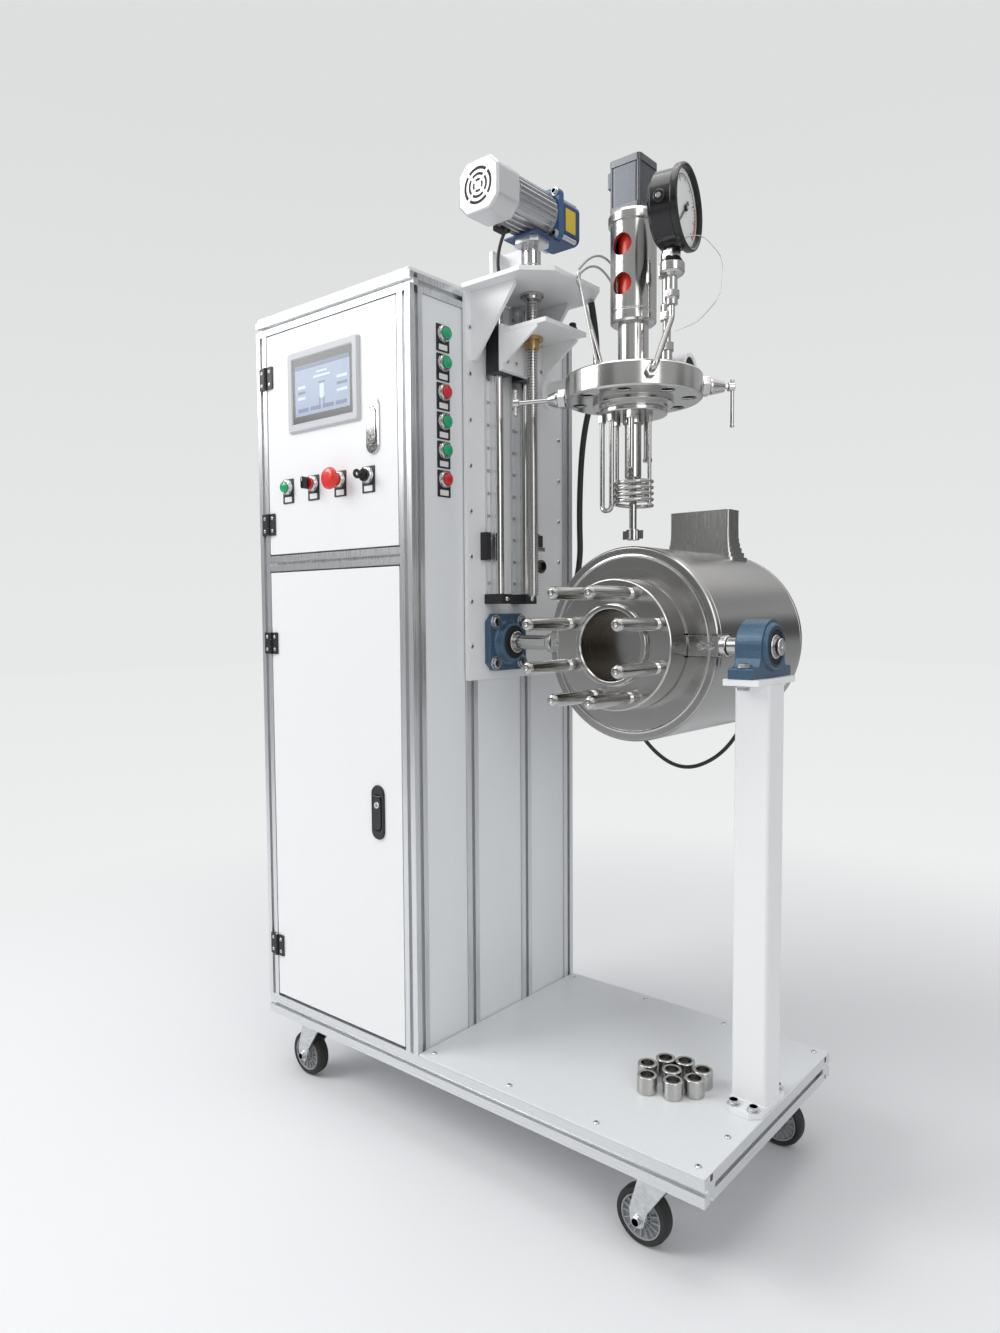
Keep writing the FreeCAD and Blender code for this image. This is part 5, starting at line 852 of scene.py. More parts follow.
# Lift bracket: laser-cut white plates, welded: a top plate with clipped corners on two gussets, and
# the stand of the gearbox. The lift plate behind it is one flat sheet with softened edges.
bracket = bmesh.new()
slab(bracket, [(0, 0), (130, 0), (172, 42), (172, 174), (130, 216), (0, 216)], 8,
     standing((434, 118, 1494), Matrix()), 0, 0.9)
for y in (152, 308):
    slab(bracket, [(0, 0), (96, 0), (96, -8), (8, -118), (0, -118)][::-1], 8,
         standing((434, y, 1494), SEEN_FRONT), 0, 0.9)
brick(bracket, (434, 222, 1502), (486, 230, 1578), 0, 0.8)
brick(bracket, (434, 194, 1502), (442, 258, 1578), 0, 0.8)
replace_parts(made("welded_lift_bracket", bracket, "base", "white_sheet", bright_white),
            "lift_bracket")

# Linear guide: ground steel rails on satin strips with a row of countersunk screws, black moulded
# end blocks, the screw's steel bearing flange, a small travel sensor and a rubber grommet.
SCREW = (506, 226, 0)  # the lead screw's axis
ORIGIN = (*MIDDLE, 0)  # about which a shape that is repeated is drawn
guide = bmesh.new()
for y in (189.5, 262.5):
    slab(guide, [(-13, 0), (13, 0), (13, 5), (4.5, 5), (4.5, 18), (-4.5, 18), (-4.5, 5), (-13, 5)],
         530, Matrix.Translation(at(434, y, 964)) @ Matrix.Rotation(-math.pi / 2, 4, "Z"), 1, 0.5)
    spin(guide, [(0, 0), (8, 0), (8, 530), (0, 530)], (458, y, 964), UP, 0, 48, 0.8)
    brick(guide, (434, y - 16, 946), (474, y + 16, 964), 2, 1.6, 3)
    spin(guide, [(0, 0), (4.4, 0), (4.4, 1.2), (3.2, 3.6), (0, 3.6)], (474, y, 955), RIGHT, 0, 24,
         0.4)
    holes = bmesh.new()
    spin(holes, [(0, 0.5), (1.9, 0.5), (2, 1.4), (3.4, 1.2), (3.6, 0), (0, 0)], ORIGIN,
         RIGHT, 0, 16, 0.2)
    repeat(guide, holes, [(0, 0, 0.02 + 0.0405 * s) for s in range(13)],
           Matrix.Translation(at(439, y - 9, 964)), 3)
spin(guide, [(10.1, 1484), (10.1, 1501.8), (15.6, 1501.8), (15.6, 1494), (21, 1494), (21, 1489),
             (17, 1489), (16, 1484)], SCREW, UP, 3, 48, 0.7, closed=True)
brick(guide, (434, 163.5, 1025), (450, 175.5, 1075), 2, 1)
brick(guide, (434, 288.5, 1046), (466, 314.5, 1054), 3, 0.6)
brick(guide, (454, 292.5, 1054), (466, 308.5, 1076), 2, 1.2)
spin(guide, [(0, 0), (3, 0), (3, 3), (0, 3)], (460, 300.5, 1076), UP, 4, 20, 0.4)
spin(guide, [(0, 2), (7, 2), (8, 8), (9, 9), (13, 5), (13, 0), (0, 0)], (434, 340.5, 1020), RIGHT,
     2, 40, 0.8)
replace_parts(made("rails_and_blocks", guide, "base", "bright", polished, rail_z, black_plastic,
                 steel_plain, bright_red), "linear_guide")

# Lead screw: a rolled trapezoidal thread in steel, drawn by a row of thread crests, with a jaw
# coupling clamped on its top end.
thread = bmesh.new()
spin(thread, [(0, 958), (7, 958), (8.4, 960), (8.4, 1510), (0, 1510)], SCREW, UP, 0, 40, 0.4)
crest = bmesh.new()
spin(crest, [(8.2, -1.5), (10, -0.7), (10, 0.7), (8.2, 1.5)], ORIGIN, UP, 0, 36, 0.2,
     closed=True)
repeat(thread, crest, [(0, 0, 0.005 * s) for s in range(109)],
       Matrix.Translation(at(506, 226, 963)), 0, 0.0)
spin(thread, [(0, 1512), (15, 1512), (16, 1513), (16, 1536), (14.4, 1537), (14.4, 1543), (16, 1544),
              (16, 1567), (15, 1568), (11, 1568), (11, 1585.5), (0, 1585.5)], SCREW, UP, 1, 48, 0.5)
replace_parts(made("threaded_lead_screw", thread, "lead_screw_body", "bright", steel_plain, polished),
            "lead_screw")

# Gear motor: a die-cast fan cover with slotted rings, an extruded finned body, and a dark blue cast
# gearbox with a square flange, through bolts at its corners and a bare yellow plate.
motor_paint = finish("motor_paint", (0.62, 0.625, 0.63), 0.34, 0.25, (800,) * 3, vary=0.03,
                     relief=0.06)
gearbox_blue = finish("gearbox_blue", (0.015, 0.055, 0.16), 0.38, 0.1, (500,) * 3, vary=0.15,
                      relief=0.12)
motor_alloy = finish("motor_alloy", (0.60, 0.61, 0.62), 0.34, 0.75, (900, 900, 900), vary=0.05,
                     relief=0.08)
flange_blue = finish("flange_blue", (0.035, 0.10, 0.24), 0.34, 0.1, (500,) * 3, vary=0.12,
                     relief=0.1)
plate_yellow = finish("plate_yellow", (0.72, 0.52, 0.03), 0.4, grain=(500,) * 3, vary=0.03,
                      relief=0.02)
motor = bmesh.new()
OCTAGON = [(-25.5, -44), (25.5, -44), (44, -25.5), (44, 25.5), (25.5, 44), (-25.5, 44), (-44, 25.5),
           (-44, -25.5)]
slab(motor, OCTAGON, 58, standing((506, 140, 1634), SEEN_FRONT), 0, 6.5, 6)
# The fan cover's slots are thin dark arcs on its face: painted shade of the openings.
for inner, outer in ((7, 11), (15.8, 20.2), (25, 30)):
    for quarter in range(4):
        gap = math.degrees(2.6 / outer)
        span = (45 + 90 * quarter + gap, 90 - 2 * gap, 14)
        slab(motor, arc(outer, *span) + arc(inner, *span)[::-1], 0.3,
             standing((506, 82.2, 1634), SEEN_FRONT), 3, 0)
spin(motor, [(0, -0.2), (41.6, -0.2), (41.6, 3), (37.5, 4), (37.5, 104), (41.6, 105), (41.6, 108),
             (0, 108)], (506, 140, 1634), BACK, 1, 64, 0.8)
repeat(motor, template_brick((34, -1.1, 3), (43.6, 1.1, 105)), [(0, 0, 0)] * 28,
       facing((506, 140, 1634), BACK), 1, math.tau / 28)
slab(motor, rounded(88, 88, 9, 6), 14, standing((506, 262, 1634), SEEN_FRONT), 4, 1.6, 3)
slab(motor, rounded(68.6, 68.6, 10, 6), 62, standing((506, 324, 1634), SEEN_FRONT), 2, 2.2, 3)
for u in (-36, 36):
    for v in (-36, 36):
        hex_bolt(motor, (506 + u, 248, 1634 + v), FRONT, 5.6, 6, 1)
        spin(motor, [(0, 0), (4, 0), (4, 52), (0, 52)], (506 + u * 0.86, 262, 1634 + v * 0.86),
             BACK, 1, 20, 0.6)
slab(motor, rounded(30, 40, 1.5, 3), 0.5, standing((540.2, 296, 1634), SEEN_RIGHT), 5, 0.15)
brick(motor, (470.8, 191.2, 1586.6), (541.2, 262, 1590), 2, 0.8)
slab(motor, [(x * 27 / 44, y * 27 / 44) for x, y in OCTAGON], 12,
     standing((506, 226, 1578), Matrix()), 1, 1.2, 3)
brick(motor, (480, 150, 1588.6), (498, 176, 1597), 3, 1.2)
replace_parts(made("lift_gear_motor", motor, "base", "motor_grey", motor_paint, motor_alloy,
                 gearbox_blue, black_parts_and_painted_hole_shade, flange_blue, plate_yellow), "gear_motor")

# Carriage: black slide blocks behind a white welded bracket with its shelf and gussets, the round
# arm that carries the head, a clamping collar on it, and the bronze nut of the lead screw.
nut_bronze = finish("nut_bronze", (0.52, 0.36, 0.17), 0.3, 1.0, (300,) * 3, vary=0.08, relief=0.03)
carriage = bmesh.new()
for y in (189.5, 262.5):
    bore = arc(8.15, 143, -286, 24, (12, 0))
    slab(carriage, ([(0, -20), (32, -20), (32, 20), (0, 20), (0, 4.9)] + bore + [(0, -4.9)]), 80,
         standing((446, y, 1355), Matrix()), 1, 1.2)
slab(carriage, [(166, 1355), (269, 1355), (273, 1312), (329, 1312), (329, 1364), (292, 1364),
                (286, 1370), (286, 1435), (166, 1435)], 8,
     Matrix.Translation((at(478, 0, 0)[0], at(0, 0, 0)[1], 0)) @ SEEN_RIGHT, 0, 0.9)
slab(carriage, [(0, 0), (96, 0), (96, 120), (0, 120)], 8, standing((486, 166, 1419), Matrix()), 0,
     0.9)
for y in (171, 286):
    slab(carriage, [(0, 0), (0, -52), (5, -52), (76.8, -5), (76.8, 0)], 5,
         standing((486, y, 1419), SEEN_FRONT), 0, 0.7)
spin(carriage, [(0, 0), (30, 0), (30, 8), (24, 9.6), (22, 12), (22, 54), (28, 54), (28, 72),
                (22, 72), (22, 294), (15, 294), (15, 290), (0, 290)], (486, 301, 1336), RIGHT, 0,
     64, 0.8)
# A dark disc inside the arm's open end: painted shade of its bore.
spin(carriage, [(0, 288), (15, 288), (15, 292), (0, 293)], (486, 301, 1336), RIGHT, 2, 32, 0.6)
for z in (-1, 1):
    socket_head(carriage, (549, 273, 1336 + 9 * z), FRONT, 3.4, 2.6, 4, 2)
brick(carriage, (686, 279, 1314), (746, 323, 1336), 0, 1.2)
spin(carriage, [(10.1, 1397), (10.1, 1419), (19.5, 1419), (19.5, 1413), (12.9, 1413), (12.9, 1397)],
     SCREW, UP, 3, 48, 0.5, closed=True)
for y in (180, 204, 253, 277):
    for z in (1372, 1420):
        socket_head(carriage, (486, y, z), RIGHT, 3.8, 2.6, 4, 2)
spin(carriage, [(0, 0), (8, 0), (8, 6), (6.5, 8), (6.5, 13), (5, 15), (0, 15)], (566, 266, 1427.2),
     UP, 2, 28, 0.8)
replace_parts(made("welded_carriage", carriage, "lift", "white_sheet", bright_white, black_plastic,
                 black_parts_and_painted_hole_shade, nut_bronze, zinc), "carriage")

# Servo motor: a dark extruded body between two cast ends with corner bars and screws, and a plug for
# its cable, screwed on the round flange of the drive housing.
HEAD = (716, 226, 0)  # the raised head's axis, which its turned pieces share
servo_dark = finish("servo_dark", (0.085, 0.092, 0.105), 0.3, 0.55, (900, 900, 60), vary=0.1,
                    relief=0.05)
servo_edge = finish("servo_edge", (0.115, 0.12, 0.13), 0.3, 0.5, grain=(600,) * 3, vary=0.08,
                    relief=0.05)
servo = bmesh.new()
slab(servo, rounded(57, 57, 5, 5), 9, standing((716, 226, 1572), Matrix()), 3, 1.0)
slab(servo, rounded(54, 54, 7, 5), 66, standing((716, 226, 1580), Matrix()), 0, 1.2)
slab(servo, rounded(57, 57, 5, 5), 11, standing((716, 226, 1644), Matrix()), 3, 1.4, 3)
for u in (-1, 1):
    for v in (-1, 1):
        spin(servo, [(0, 0), (3.4, 0), (3.4, 64), (0, 64)],
             (716 + 24.4 * u, 226 + 24.4 * v, 1580.5), UP, 3, 20, 0.3)
        socket_head(servo, (716 + 23.5 * u, 226 + 23.5 * v, 1654.6), UP, 3, 0.9, 1, 2)
brick(servo, (673.5, 214, 1621), (690, 238, 1647), 0, 1.8, 3)
spin(servo, [(0, 0), (6.5, 0), (6.5, 4), (8, 4), (8, 9), (0, 9)], (682, 226, 1621), DOWN, 2, 28,
     0.8)
spin(servo, [(6.2, 1572), (31.3, 1572), (31.3, 1564), (6.2, 1564)], HEAD, UP, 1, 40, 0.5,
     closed=True)
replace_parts(made("servo_motor_body", servo, "lift", "dark_motor", servo_dark, motor_alloy,
                 black_parts_and_painted_hole_shade, servo_edge), "servo_motor")

# Stirrer: a ground shaft with the red magnet sleeve seen in the housing's windows, and at its foot
# a hub with four pitched blades.
magnet_red = finish("magnet_red", (0.75, 0.03, 0.015), 0.3, grain=(300,) * 3, vary=0.05,
                    relief=0.02)
stir = bmesh.new()
spin(stir, [(0, 1048), (6, 1048), (6, 1415), (24, 1415), (24, 1543), (6, 1543), (6, 1579.5),
            (0, 1579.5)], HEAD, UP, 0, 48, 0.5)
spin(stir, [(6.1, 1418), (24.4, 1418), (24.4, 1540), (6.1, 1540)], HEAD, UP, 1, 48, 1, closed=True)
spin(stir, [(6.05, 1048.2), (9.6, 1048.2), (9.6, 1066), (6.05, 1066)], HEAD, UP, 0, 36, 0.6,
     closed=True)
repeat(stir, template_brick((8.6, -1.25, 2), (19, 1.25, 16)), [(0, 0, 0)] * 4,
       Matrix.Translation(at(716, 226, 1048)), 0, math.tau / 4)
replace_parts(made("stirrer_shaft", stir, "stirrer_body", "stainless", polished, magnet_red),
            "stirrer")

# Gauge: a black crimped case with a bayonet rim and a relief bolt, and a pale dial with a ring of
# ticks and no words.
dial_pale = finish("dial_pale", (0.80, 0.80, 0.785), 0.4, grain=(300,) * 3, vary=0.015, relief=0.01)
GAUGE_AT = (799, 162, 1530)
GAUGE_ALONG = (math.cos(math.radians(10)), math.sin(math.radians(10)), 0)
gauge = bmesh.new()
spin(gauge, [(0, 0), (49, 0), (57, 7), (57, 37.5), (60, 38), (61.8, 39.5), (62, 42), (62, 47),
             (61, 49.4), (58.6, 50), (56.2, 48.6), (56, 46), (56, 41), (0, 41)], GAUGE_AT,
     GAUGE_ALONG, 0, 96, 0.7)
spin(gauge, [(0, 40.6), (55.6, 40.6), (55.6, 41.35), (0, 41.35)], GAUGE_AT, GAUGE_ALONG, 1, 96, 0)
face_on = facing(GAUGE_AT, GAUGE_ALONG) @ Matrix.Translation((0, 0, 0.04135))
first = Matrix.Rotation(math.radians(225), 4, "Z")
repeat(gauge, template_brick((41.5, -0.35, 0), (46.5, 0.35, 0.25)), [(0, 0, 0)] * 41,
       face_on @ first, 2, -math.radians(270) / 40)
repeat(gauge, template_brick((37.5, -0.75, 0), (46.5, 0.75, 0.3)), [(0, 0, 0)] * 9,
       face_on @ first, 2, -math.radians(270) / 8)
SCALE = (225, -270, 60)
slab(gauge, arc(47.4, *SCALE) + arc(46.5, *SCALE)[::-1], 0.22, face_on, 2, 0)
slab(gauge, arc(50.6, *SCALE)[46:] + arc(48.6, *SCALE)[:45:-1], 0.24, face_on, 3, 0)
spin(gauge, [(0, 41), (2, 41), (2, 45.8), (0, 46)], GAUGE_AT, GAUGE_ALONG, 4, 20, 0.3)
spin(gauge, [(9, -1), (9, 12), (0, 12), (0, -1)][::-1], (820.7, 165.8, 1473), UP, 0, 32, 0.5)
side = (math.sin(math.radians(10)), -math.cos(math.radians(10)), 0)
spin(gauge, [(0, 50), (9.5, 50), (9.5, 59.6), (8, 61), (0, 61)], (821, 166, 1530), side, 0, 36, 0.8)
spin(gauge, [(0, 60.8), (4, 60.8), (4, 62.2), (0, 62.2)], (821, 166, 1530), side, 4, 24, 0.4)
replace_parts(made("dial_gauge", gauge, "lift", "black_metal", black_gloss, dial_pale, black_plastic,
                 bright_red, polished), "pressure_gauge")


# Inner pieces under the lid: a shaft sleeve, a cooling coil of five turns on two risers, a bent
# dip tube and a sensor sleeve, each held by a compression nut under the spigot.
def bent(points, bend):
    """The dense centre line of a bent tube through its corner points."""
    line = [Vector(points[0])]
    for before, corner, after in zip(points, points[1:], points[2:]):
        corner = Vector(corner)
        to_before, to_after = Vector(before) - corner, Vector(after) - corner
        turn = math.pi - to_before.angle(to_after)
        if turn < 0.02:
            line.append(corner)
            continue
        reach = min(bend * math.tan(turn / 2), 0.48 * to_before.length, 0.48 * to_after.length)
        start, end = corner + to_before.normalized() * reach, corner + to_after.normalized() * reach
        count = max(2, int(turn / 0.2))
        for s in range(count + 1):
            t = s / count
            line.append(start * (1 - t) ** 2 + corner * 2 * t * (1 - t) + end * t ** 2)
    return line + [Vector(points[-1])]


def pipe(bm, line, radius, paint=0, sides=20):
    """A round tube along a dense centre line, closed at both ends."""
    part = bmesh.new()
    rings = []
    along = (line[1] - line[0]).normalized()
    across = along.orthogonal().normalized()
    for number, point in enumerate(line):
        near, far = line[max(0, number - 1)], line[min(len(line) - 1, number + 1)]
        along = (far - near).normalized()
        across = (across - along * across.dot(along)).normalized()
        other = along.cross(across)
        angles = [math.tau * s / sides for s in range(sides)]
        rim = [point + (across * math.cos(a) + other * math.sin(a)) * radius for a in angles]
        rings.append([part.verts.new(at(*spot)) for spot in rim])
    for low, high in zip(rings, rings[1:]):
        for s in range(sides):
            part.faces.new((low[s], low[(s + 1) % sides], high[(s + 1) % sides], high[s]))
    part.faces.new(rings[0][::-1])
    part.faces.new(rings[-1])
    merged(bm, part, paint)


def nut(bm, place, direction, radius, length, paint=0):
    """A hexagon nut round a tube with a turned chamfer at both ends."""
    slab(bm, six_sided(radius), length, facing(place, direction), paint, min(0.9, radius * 0.08))
    spin(bm, [(0, -0.5), (radius * 0.8, -0.5), (radius * 0.8, length + 0.5), (0, length + 0.5)],
         place, direction, paint, 28, 0.3)


inner = bmesh.new()
spin(inner, [(6.3, 1150), (12.6, 1150), (13.5, 1151), (13.5, 1236), (17, 1238), (17, 1251),
             (6.3, 1251)], HEAD, UP, 0, 48, 0.8, closed=True)
angles = [0.32 + (9 * math.pi - 0.64) * s / 150 for s in range(151)]
turns = [(716 + 31 * math.cos(a), 226 + 31 * math.sin(a), 1104 + 44 * a / (9 * math.pi))
         for a in angles]
coil = bent([(747, 226, 1251), (747, 226, 1104)] + turns + [(685, 226, 1148), (685, 226, 1251)], 7)
pipe(inner, coil, 3.2, 0, 16)
pipe(inner, bent([(678, 192, 1251), (678, 192, 1096), (700, 186, 1096), (700, 186, 1251)], 10), 4,
     0, 20)
spin(inner, [(0, 1159), (3.4, 1159), (4.5, 1160.5), (4.5, 1251), (0, 1251)], (738, 184, 0), UP, 0,
     28, 0.6)
for x, y, radius in ((747, 226, 6.2), (685, 226, 6.2), (678, 192, 7), (700, 186, 7),
                     (738, 184, 7.4)):
    nut(inner, (x, y, 1239), UP, radius, 12)
spin(inner, [(0, 1180), (7.6, 1180), (7.6, 1186), (6.4, 1187), (6.4, 1251), (0, 1251)],
     (722, 262, 0), UP, 0, 32, 0.8)
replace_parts(made("tubes_under_lid", inner, "lift", "stainless", steel_plain), "head_internals")

# Fittings on the lid: the gauge's bent line with its unions and turned stem, the safety column, two
# leaning probes in their glands, and the bodies of the rim valves.
fit = bmesh.new()
pipe(fit, bent([(795.2, 146.8, 1294), (812.2, 129.8, 1294), (820.7, 165.8, 1374),
                (820.7, 165.8, 1436)], 14), 4.6, 0, 24)
nut(fit, (795.9, 146.1, 1294), (0.7071, -0.7071, 0), 9.5, 10)
spin(fit, [(4.6, 1392), (9, 1392), (9, 1400), (10.5, 1401), (10.5, 1412), (8.4, 1413), (8.4, 1432),
           (12, 1433), (17.6, 1437), (19, 1440), (19, 1452), (17, 1455), (12, 1463), (12, 1473),
           (0, 1473), (0, 1430), (4.6, 1430)], (820.7, 165.8, 0), UP, 0, 48, 0.8)
nut(fit, (820.7, 165.8, 1402), UP, 13, 10)
nut(fit, (820.7, 165.8, 1456), UP, 14.5, 15)
nut(fit, (778, 226, 1314), UP, 16, 14)
spin(fit, [(0, 1314), (9, 1314), (9, 1350), (6.4, 1352), (6.4, 1400), (10, 1402), (10, 1416),
           (7.2, 1418), (7.2, 1460), (9.8, 1462), (9.8, 1494), (8, 1500), (0, 1500)], (778, 226, 0),
     UP, 0, 40, 0.9)
nut(fit, (778, 226, 1344), UP, 12.5, 13)
nut(fit, (778, 226, 1392), UP, 12, 12)
nut(fit, (778, 226, 1460), UP, 15, 16)
for foot_y, lean in ((215, -0.33), (195, -0.24)):
    up = Vector((lean, 0, 1)).normalized()
    nut(fit, (670, foot_y, 1314), UP, 9, 12)
    spin(fit, [(0, 0), (5, 0), (5, 15), (4.2, 17), (4.2, 25), (2.4, 26), (2.4, 172), (3.2, 173),
               (3.2, 180), (0, 180)], (670, foot_y, 1320), up, 0, 24, 0.5)
    spin(fit, [(2.3, 9), (6.6, 9), (6.6, 15), (2.3, 15)], (670, foot_y, 1320), up, 0, 6, 0.3,
         closed=True)
for across, back, rise, hexed, reach in ((0.7071, 0.7071, 1301, 17, 26),
                                         (-0.9397, -0.342, 1289, 17, 18.2)):
    start, along = (716 + 112 * across, 226 + 112 * back, rise), (across, back, 0)
    nut(fit, (start[0] + 2 * across, start[1] + 2 * back, rise), along, hexed, 12)
    spin(fit, [(4.1, -9), (6, -9), (6, 14), (13.6, 15), (13.6, 19), (8.6, 15 + reach),
               (4.1, 15 + reach)], start, along, 0, 40, 0.8, closed=True)
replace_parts(made("lid_fittings_and_line", fit, "lift", "stainless", steel_plain), "lid_fittings")

# Valve handles: a turned stainless stem with its gland nut, and a bar that slides through the
# stem's head and has a knob at both ends.
for name, body, across, back, rise, reach, stem_long, bar_long, above in (
        ("gas_valve_tee", "gas_valve_handle", 0.7071, 0.7071, 1301, 138.4, 28.6, 78, 12),
        ("vent_valve_tee", "vent_valve_handle", -0.9397, -0.342, 1289, 130.6, 74, 44, 22)):
    handle = bmesh.new()
    start, along = (716 + reach * across, 226 + reach * back, rise), (across, back, 0)
    spin(handle, [(0, 0), (3.95, 0), (3.95, stem_long - 8), (7.2, stem_long - 7),
                  (7.2, stem_long + 3), (5.5, stem_long + 4), (0, stem_long + 4)], start, along, 0,
         32, 0.5)
    end = (start[0] + stem_long * across, start[1] + stem_long * back, rise + above)
    spin(handle, [(0, 0), (3.5, 0), (3.5, 4), (2.9, 5), (2.9, bar_long - 5), (3.5, bar_long - 4),
                  (3.5, bar_long), (0, bar_long)], end, DOWN, 0, 24, 0.9)
    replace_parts(made(name, handle, f"{body}_body", "stainless", polished), body)

# Vessel: one turned and polished steel piece with a raised mouth ring, a wide closure flange and
# the step that the jacket sits on. Two lugs on the step take the tongues of the trunnions.
VESSEL = (716, 0, 876)  # its axis at the base's front edge, while it points forward
VESSEL_AXIS = (at(716, 226, 876), "Y")
steel_turned = finish("steel_turned", (0.5, 0.495, 0.48), 0.17, 1.0, (2600, 2600, 1), VESSEL_AXIS,
                      vary=0.06, relief=0.03, gloss=0.04)


def cut_from(piece, cutters):
    """Cut blocks out of a piece and keep the result as its own mesh."""
    piece.modifiers.clear()
    for cutter in cutters:
        mesh = bpy.data.meshes.new("cutter")
        cutter.to_mesh(mesh)
        cutter.free()
        block = bpy.data.objects.new("cutter", mesh)
        bpy.context.scene.collection.objects.link(block)
        taken = piece.modifiers.new("cut", "BOOLEAN")
        taken.operation = "DIFFERENCE"
        taken.solver = "EXACT"
        taken.object = block
        graph = bpy.context.evaluated_depsgraph_get()
        result = bpy.data.meshes.new_from_object(piece.evaluated_get(graph))
        piece.modifiers.clear()
        piece.data = result
        bpy.data.objects.remove(block)
        bpy.data.meshes.remove(mesh)
    piece.data.set_sharp_from_angle(angle=SMOOTH_UP_TO)
    levelled(piece)


# The bore is a dark bronze: painted shade of the deep hole with a painted bronze reflection in it.
painted_bore_shade_and_reflection = finish("painted_bore_shade_and_reflection", (0.10, 0.082, 0.06), 0.26, 1.0, (700, 1900, 1), VESSEL_AXIS,
                    vary=0.14, relief=0.03)
shell = bmesh.new()
spin(shell, [(57, 158), (59, 155), (65.5, 155), (67, 156.5), (67, 163), (106, 163), (108, 165),
             (108, 208), (106, 210), (106, 231), (85, 231), (85, 499.9), (0, 499.9)], VESSEL, BACK,
     0, 128, 0.8)
vessel = made("vessel_shell", shell, "vessel", "stainless", steel_turned, painted_bore_shade_and_reflection)
hollow = bmesh.new()
spin(hollow, [(0, 150), (57.4, 150), (57.4, 158), (57, 158.4), (57, 468), (45, 479.9), (0, 479.9)],
     VESSEL, BACK, 0, 128, 0.8)
cut_from(vessel, [hollow])
# Faces inside the bore take the painted shade and reflection.
for polygon in vessel.data.polygons:
    middle = polygon.center - at(716, 226, 876)
    painted_shade_face = math.hypot(middle.x, middle.z) < 0.0572 and middle.y > -0.068
    if painted_shade_face:
        polygon.material_index = 1
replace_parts(vessel, "vessel_body")
lugs = bmesh.new()
for side in (-1, 1):
    low_x, high_x = sorted((716 + side * 102, 716 + side * 157.9))
    brick(lugs, (low_x, 226.1, 859.2), (high_x, 239, 892.8), 0, 1, 2)
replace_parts(made("vessel_lugs", lugs, "vessel", "stainless", steel_plain), "vessel_body")

# Heating jacket: a rolled shell between two thick rings, brushed round its axis. The front ring has
# a notch at each tongue with a folded rim, and the terminal box stands on a flared saddle on top.
steel_jacket = finish("steel_jacket", (0.4, 0.395, 0.385), 0.22, 1.0, (2600, 2600, 1), VESSEL_AXIS,
                      vary=0.06, relief=0.03, gloss=0.04)
steel_brushed = finish("steel_brushed", (0.5, 0.495, 0.48), 0.25, 1.0, (1100, 1100, 25), vary=0.03,
                       relief=0.012, gloss=0.03)
coat = bmesh.new()
spin(coat, [(107.2, 213), (159.4, 213), (162, 215.8), (162, 224), (161, 224.6), (161, 225.6),
            (162, 226.2), (162, 537), (161, 537.6), (161, 538.6), (162, 539.2), (162, 545.5),
            (158.6, 549), (0, 549), (0, 503), (107.2, 503)], VESSEL, BACK, 0, 160, 0.7)
jacket = made("jacket_shell", coat, "vessel", "stainless", steel_jacket)
notches = []
for side in (-1, 1):
    notch = bmesh.new()
    low_x, high_x = sorted((716 + side * 96, 716 + side * 175))
    brick(notch, (low_x, 205, 857), (high_x, 258, 895), 0, 0)
    notches.append(notch)
cut_from(jacket, notches)
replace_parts(jacket, "heating_jacket")
trim = bmesh.new()
spin(trim, [(144, 212.9), (146.5, 212.4), (149, 212.9), (149, 213.4), (144, 213.4)][::-1], VESSEL,
     BACK, 0, 128, 0.4, closed=True)
for side in (-1, 1):
    edge = math.sqrt(162 ** 2 - 20 ** 2) * side
    for z in (857.1, 893.3):
        low_x, high_x = sorted((716 + side * 110, 716 + edge))
        brick(trim, (low_x, 213.2, z), (high_x, 257.9, z + 1.6), 0, 0.4, 1)
box = facing((716, 477.5, 1022), UP)
slab(trim, rounded(119.2, 44.2, 5, 5), 90.2, box, 1, 0)
slab(trim, rounded(120, 45, 5, 5), 2.6, facing((716, 477.5, 1112.3), UP), 1, 0.9, 3)
for step in range(7):
    t = step / 6
    wide = 14 * (1 - t) ** 2.4
    x_out, y_out = 60 + wide, 22.5 + min(wide, 13)
    height_low = 876 + math.sqrt(162 ** 2 - x_out ** 2)
    tall = max(2.5, 1028 + 9 * step - height_low + 4)
    slab(trim, rounded(2 * x_out, 2 * y_out, 6 + wide * 0.6, 5), tall,
         facing((716, 477.5, height_low - 4), UP), 1, 0.8, 2)
nut(trim, (770, 541, 825), BACK, 11, 8)
spin(trim, [(0, 0), (9, 0), (9, 8), (7, 14), (4.3, 16), (0, 16)], (770, 548, 825), BACK, 2, 28, 0.6)
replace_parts(made("jacket_box_and_trim", trim, "vessel", "stainless", steel_plain, steel_brushed,
                 black_plastic), "heating_jacket")

# Closure studs: eight turned studs with a round nose, a centre dimple and a relief groove with a
# short thread before the flange.
studs = bmesh.new()
for number in range(8):
    angle = math.radians(22.5 + 45 * number)
    foot = (716 + 90 * math.cos(angle), 0, 876 + 90 * math.sin(angle))
    spin(studs, [(0, 46.4), (2.2, 44.6), (2.9, 44), (6, 44.3), (9, 46.3), (10.5, 50), (10.5, 145),
                 (10, 147), (8.9, 148), (8.9, 150.5), (9.8, 151.2), (8.9, 152), (9.8, 152.8),
                 (8.9, 153.6), (9.8, 154.4), (8.9, 155.2), (9.8, 156), (8.9, 156.8), (9.8, 157.6),
                 (8.9, 158.4), (9.8, 159.2), (8.9, 160), (8.9, 203), (0, 203)], foot, BACK, 0, 40,
         0.4)
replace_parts(made("studs", studs, "vessel", "stainless", steel_plain), "closure_studs")

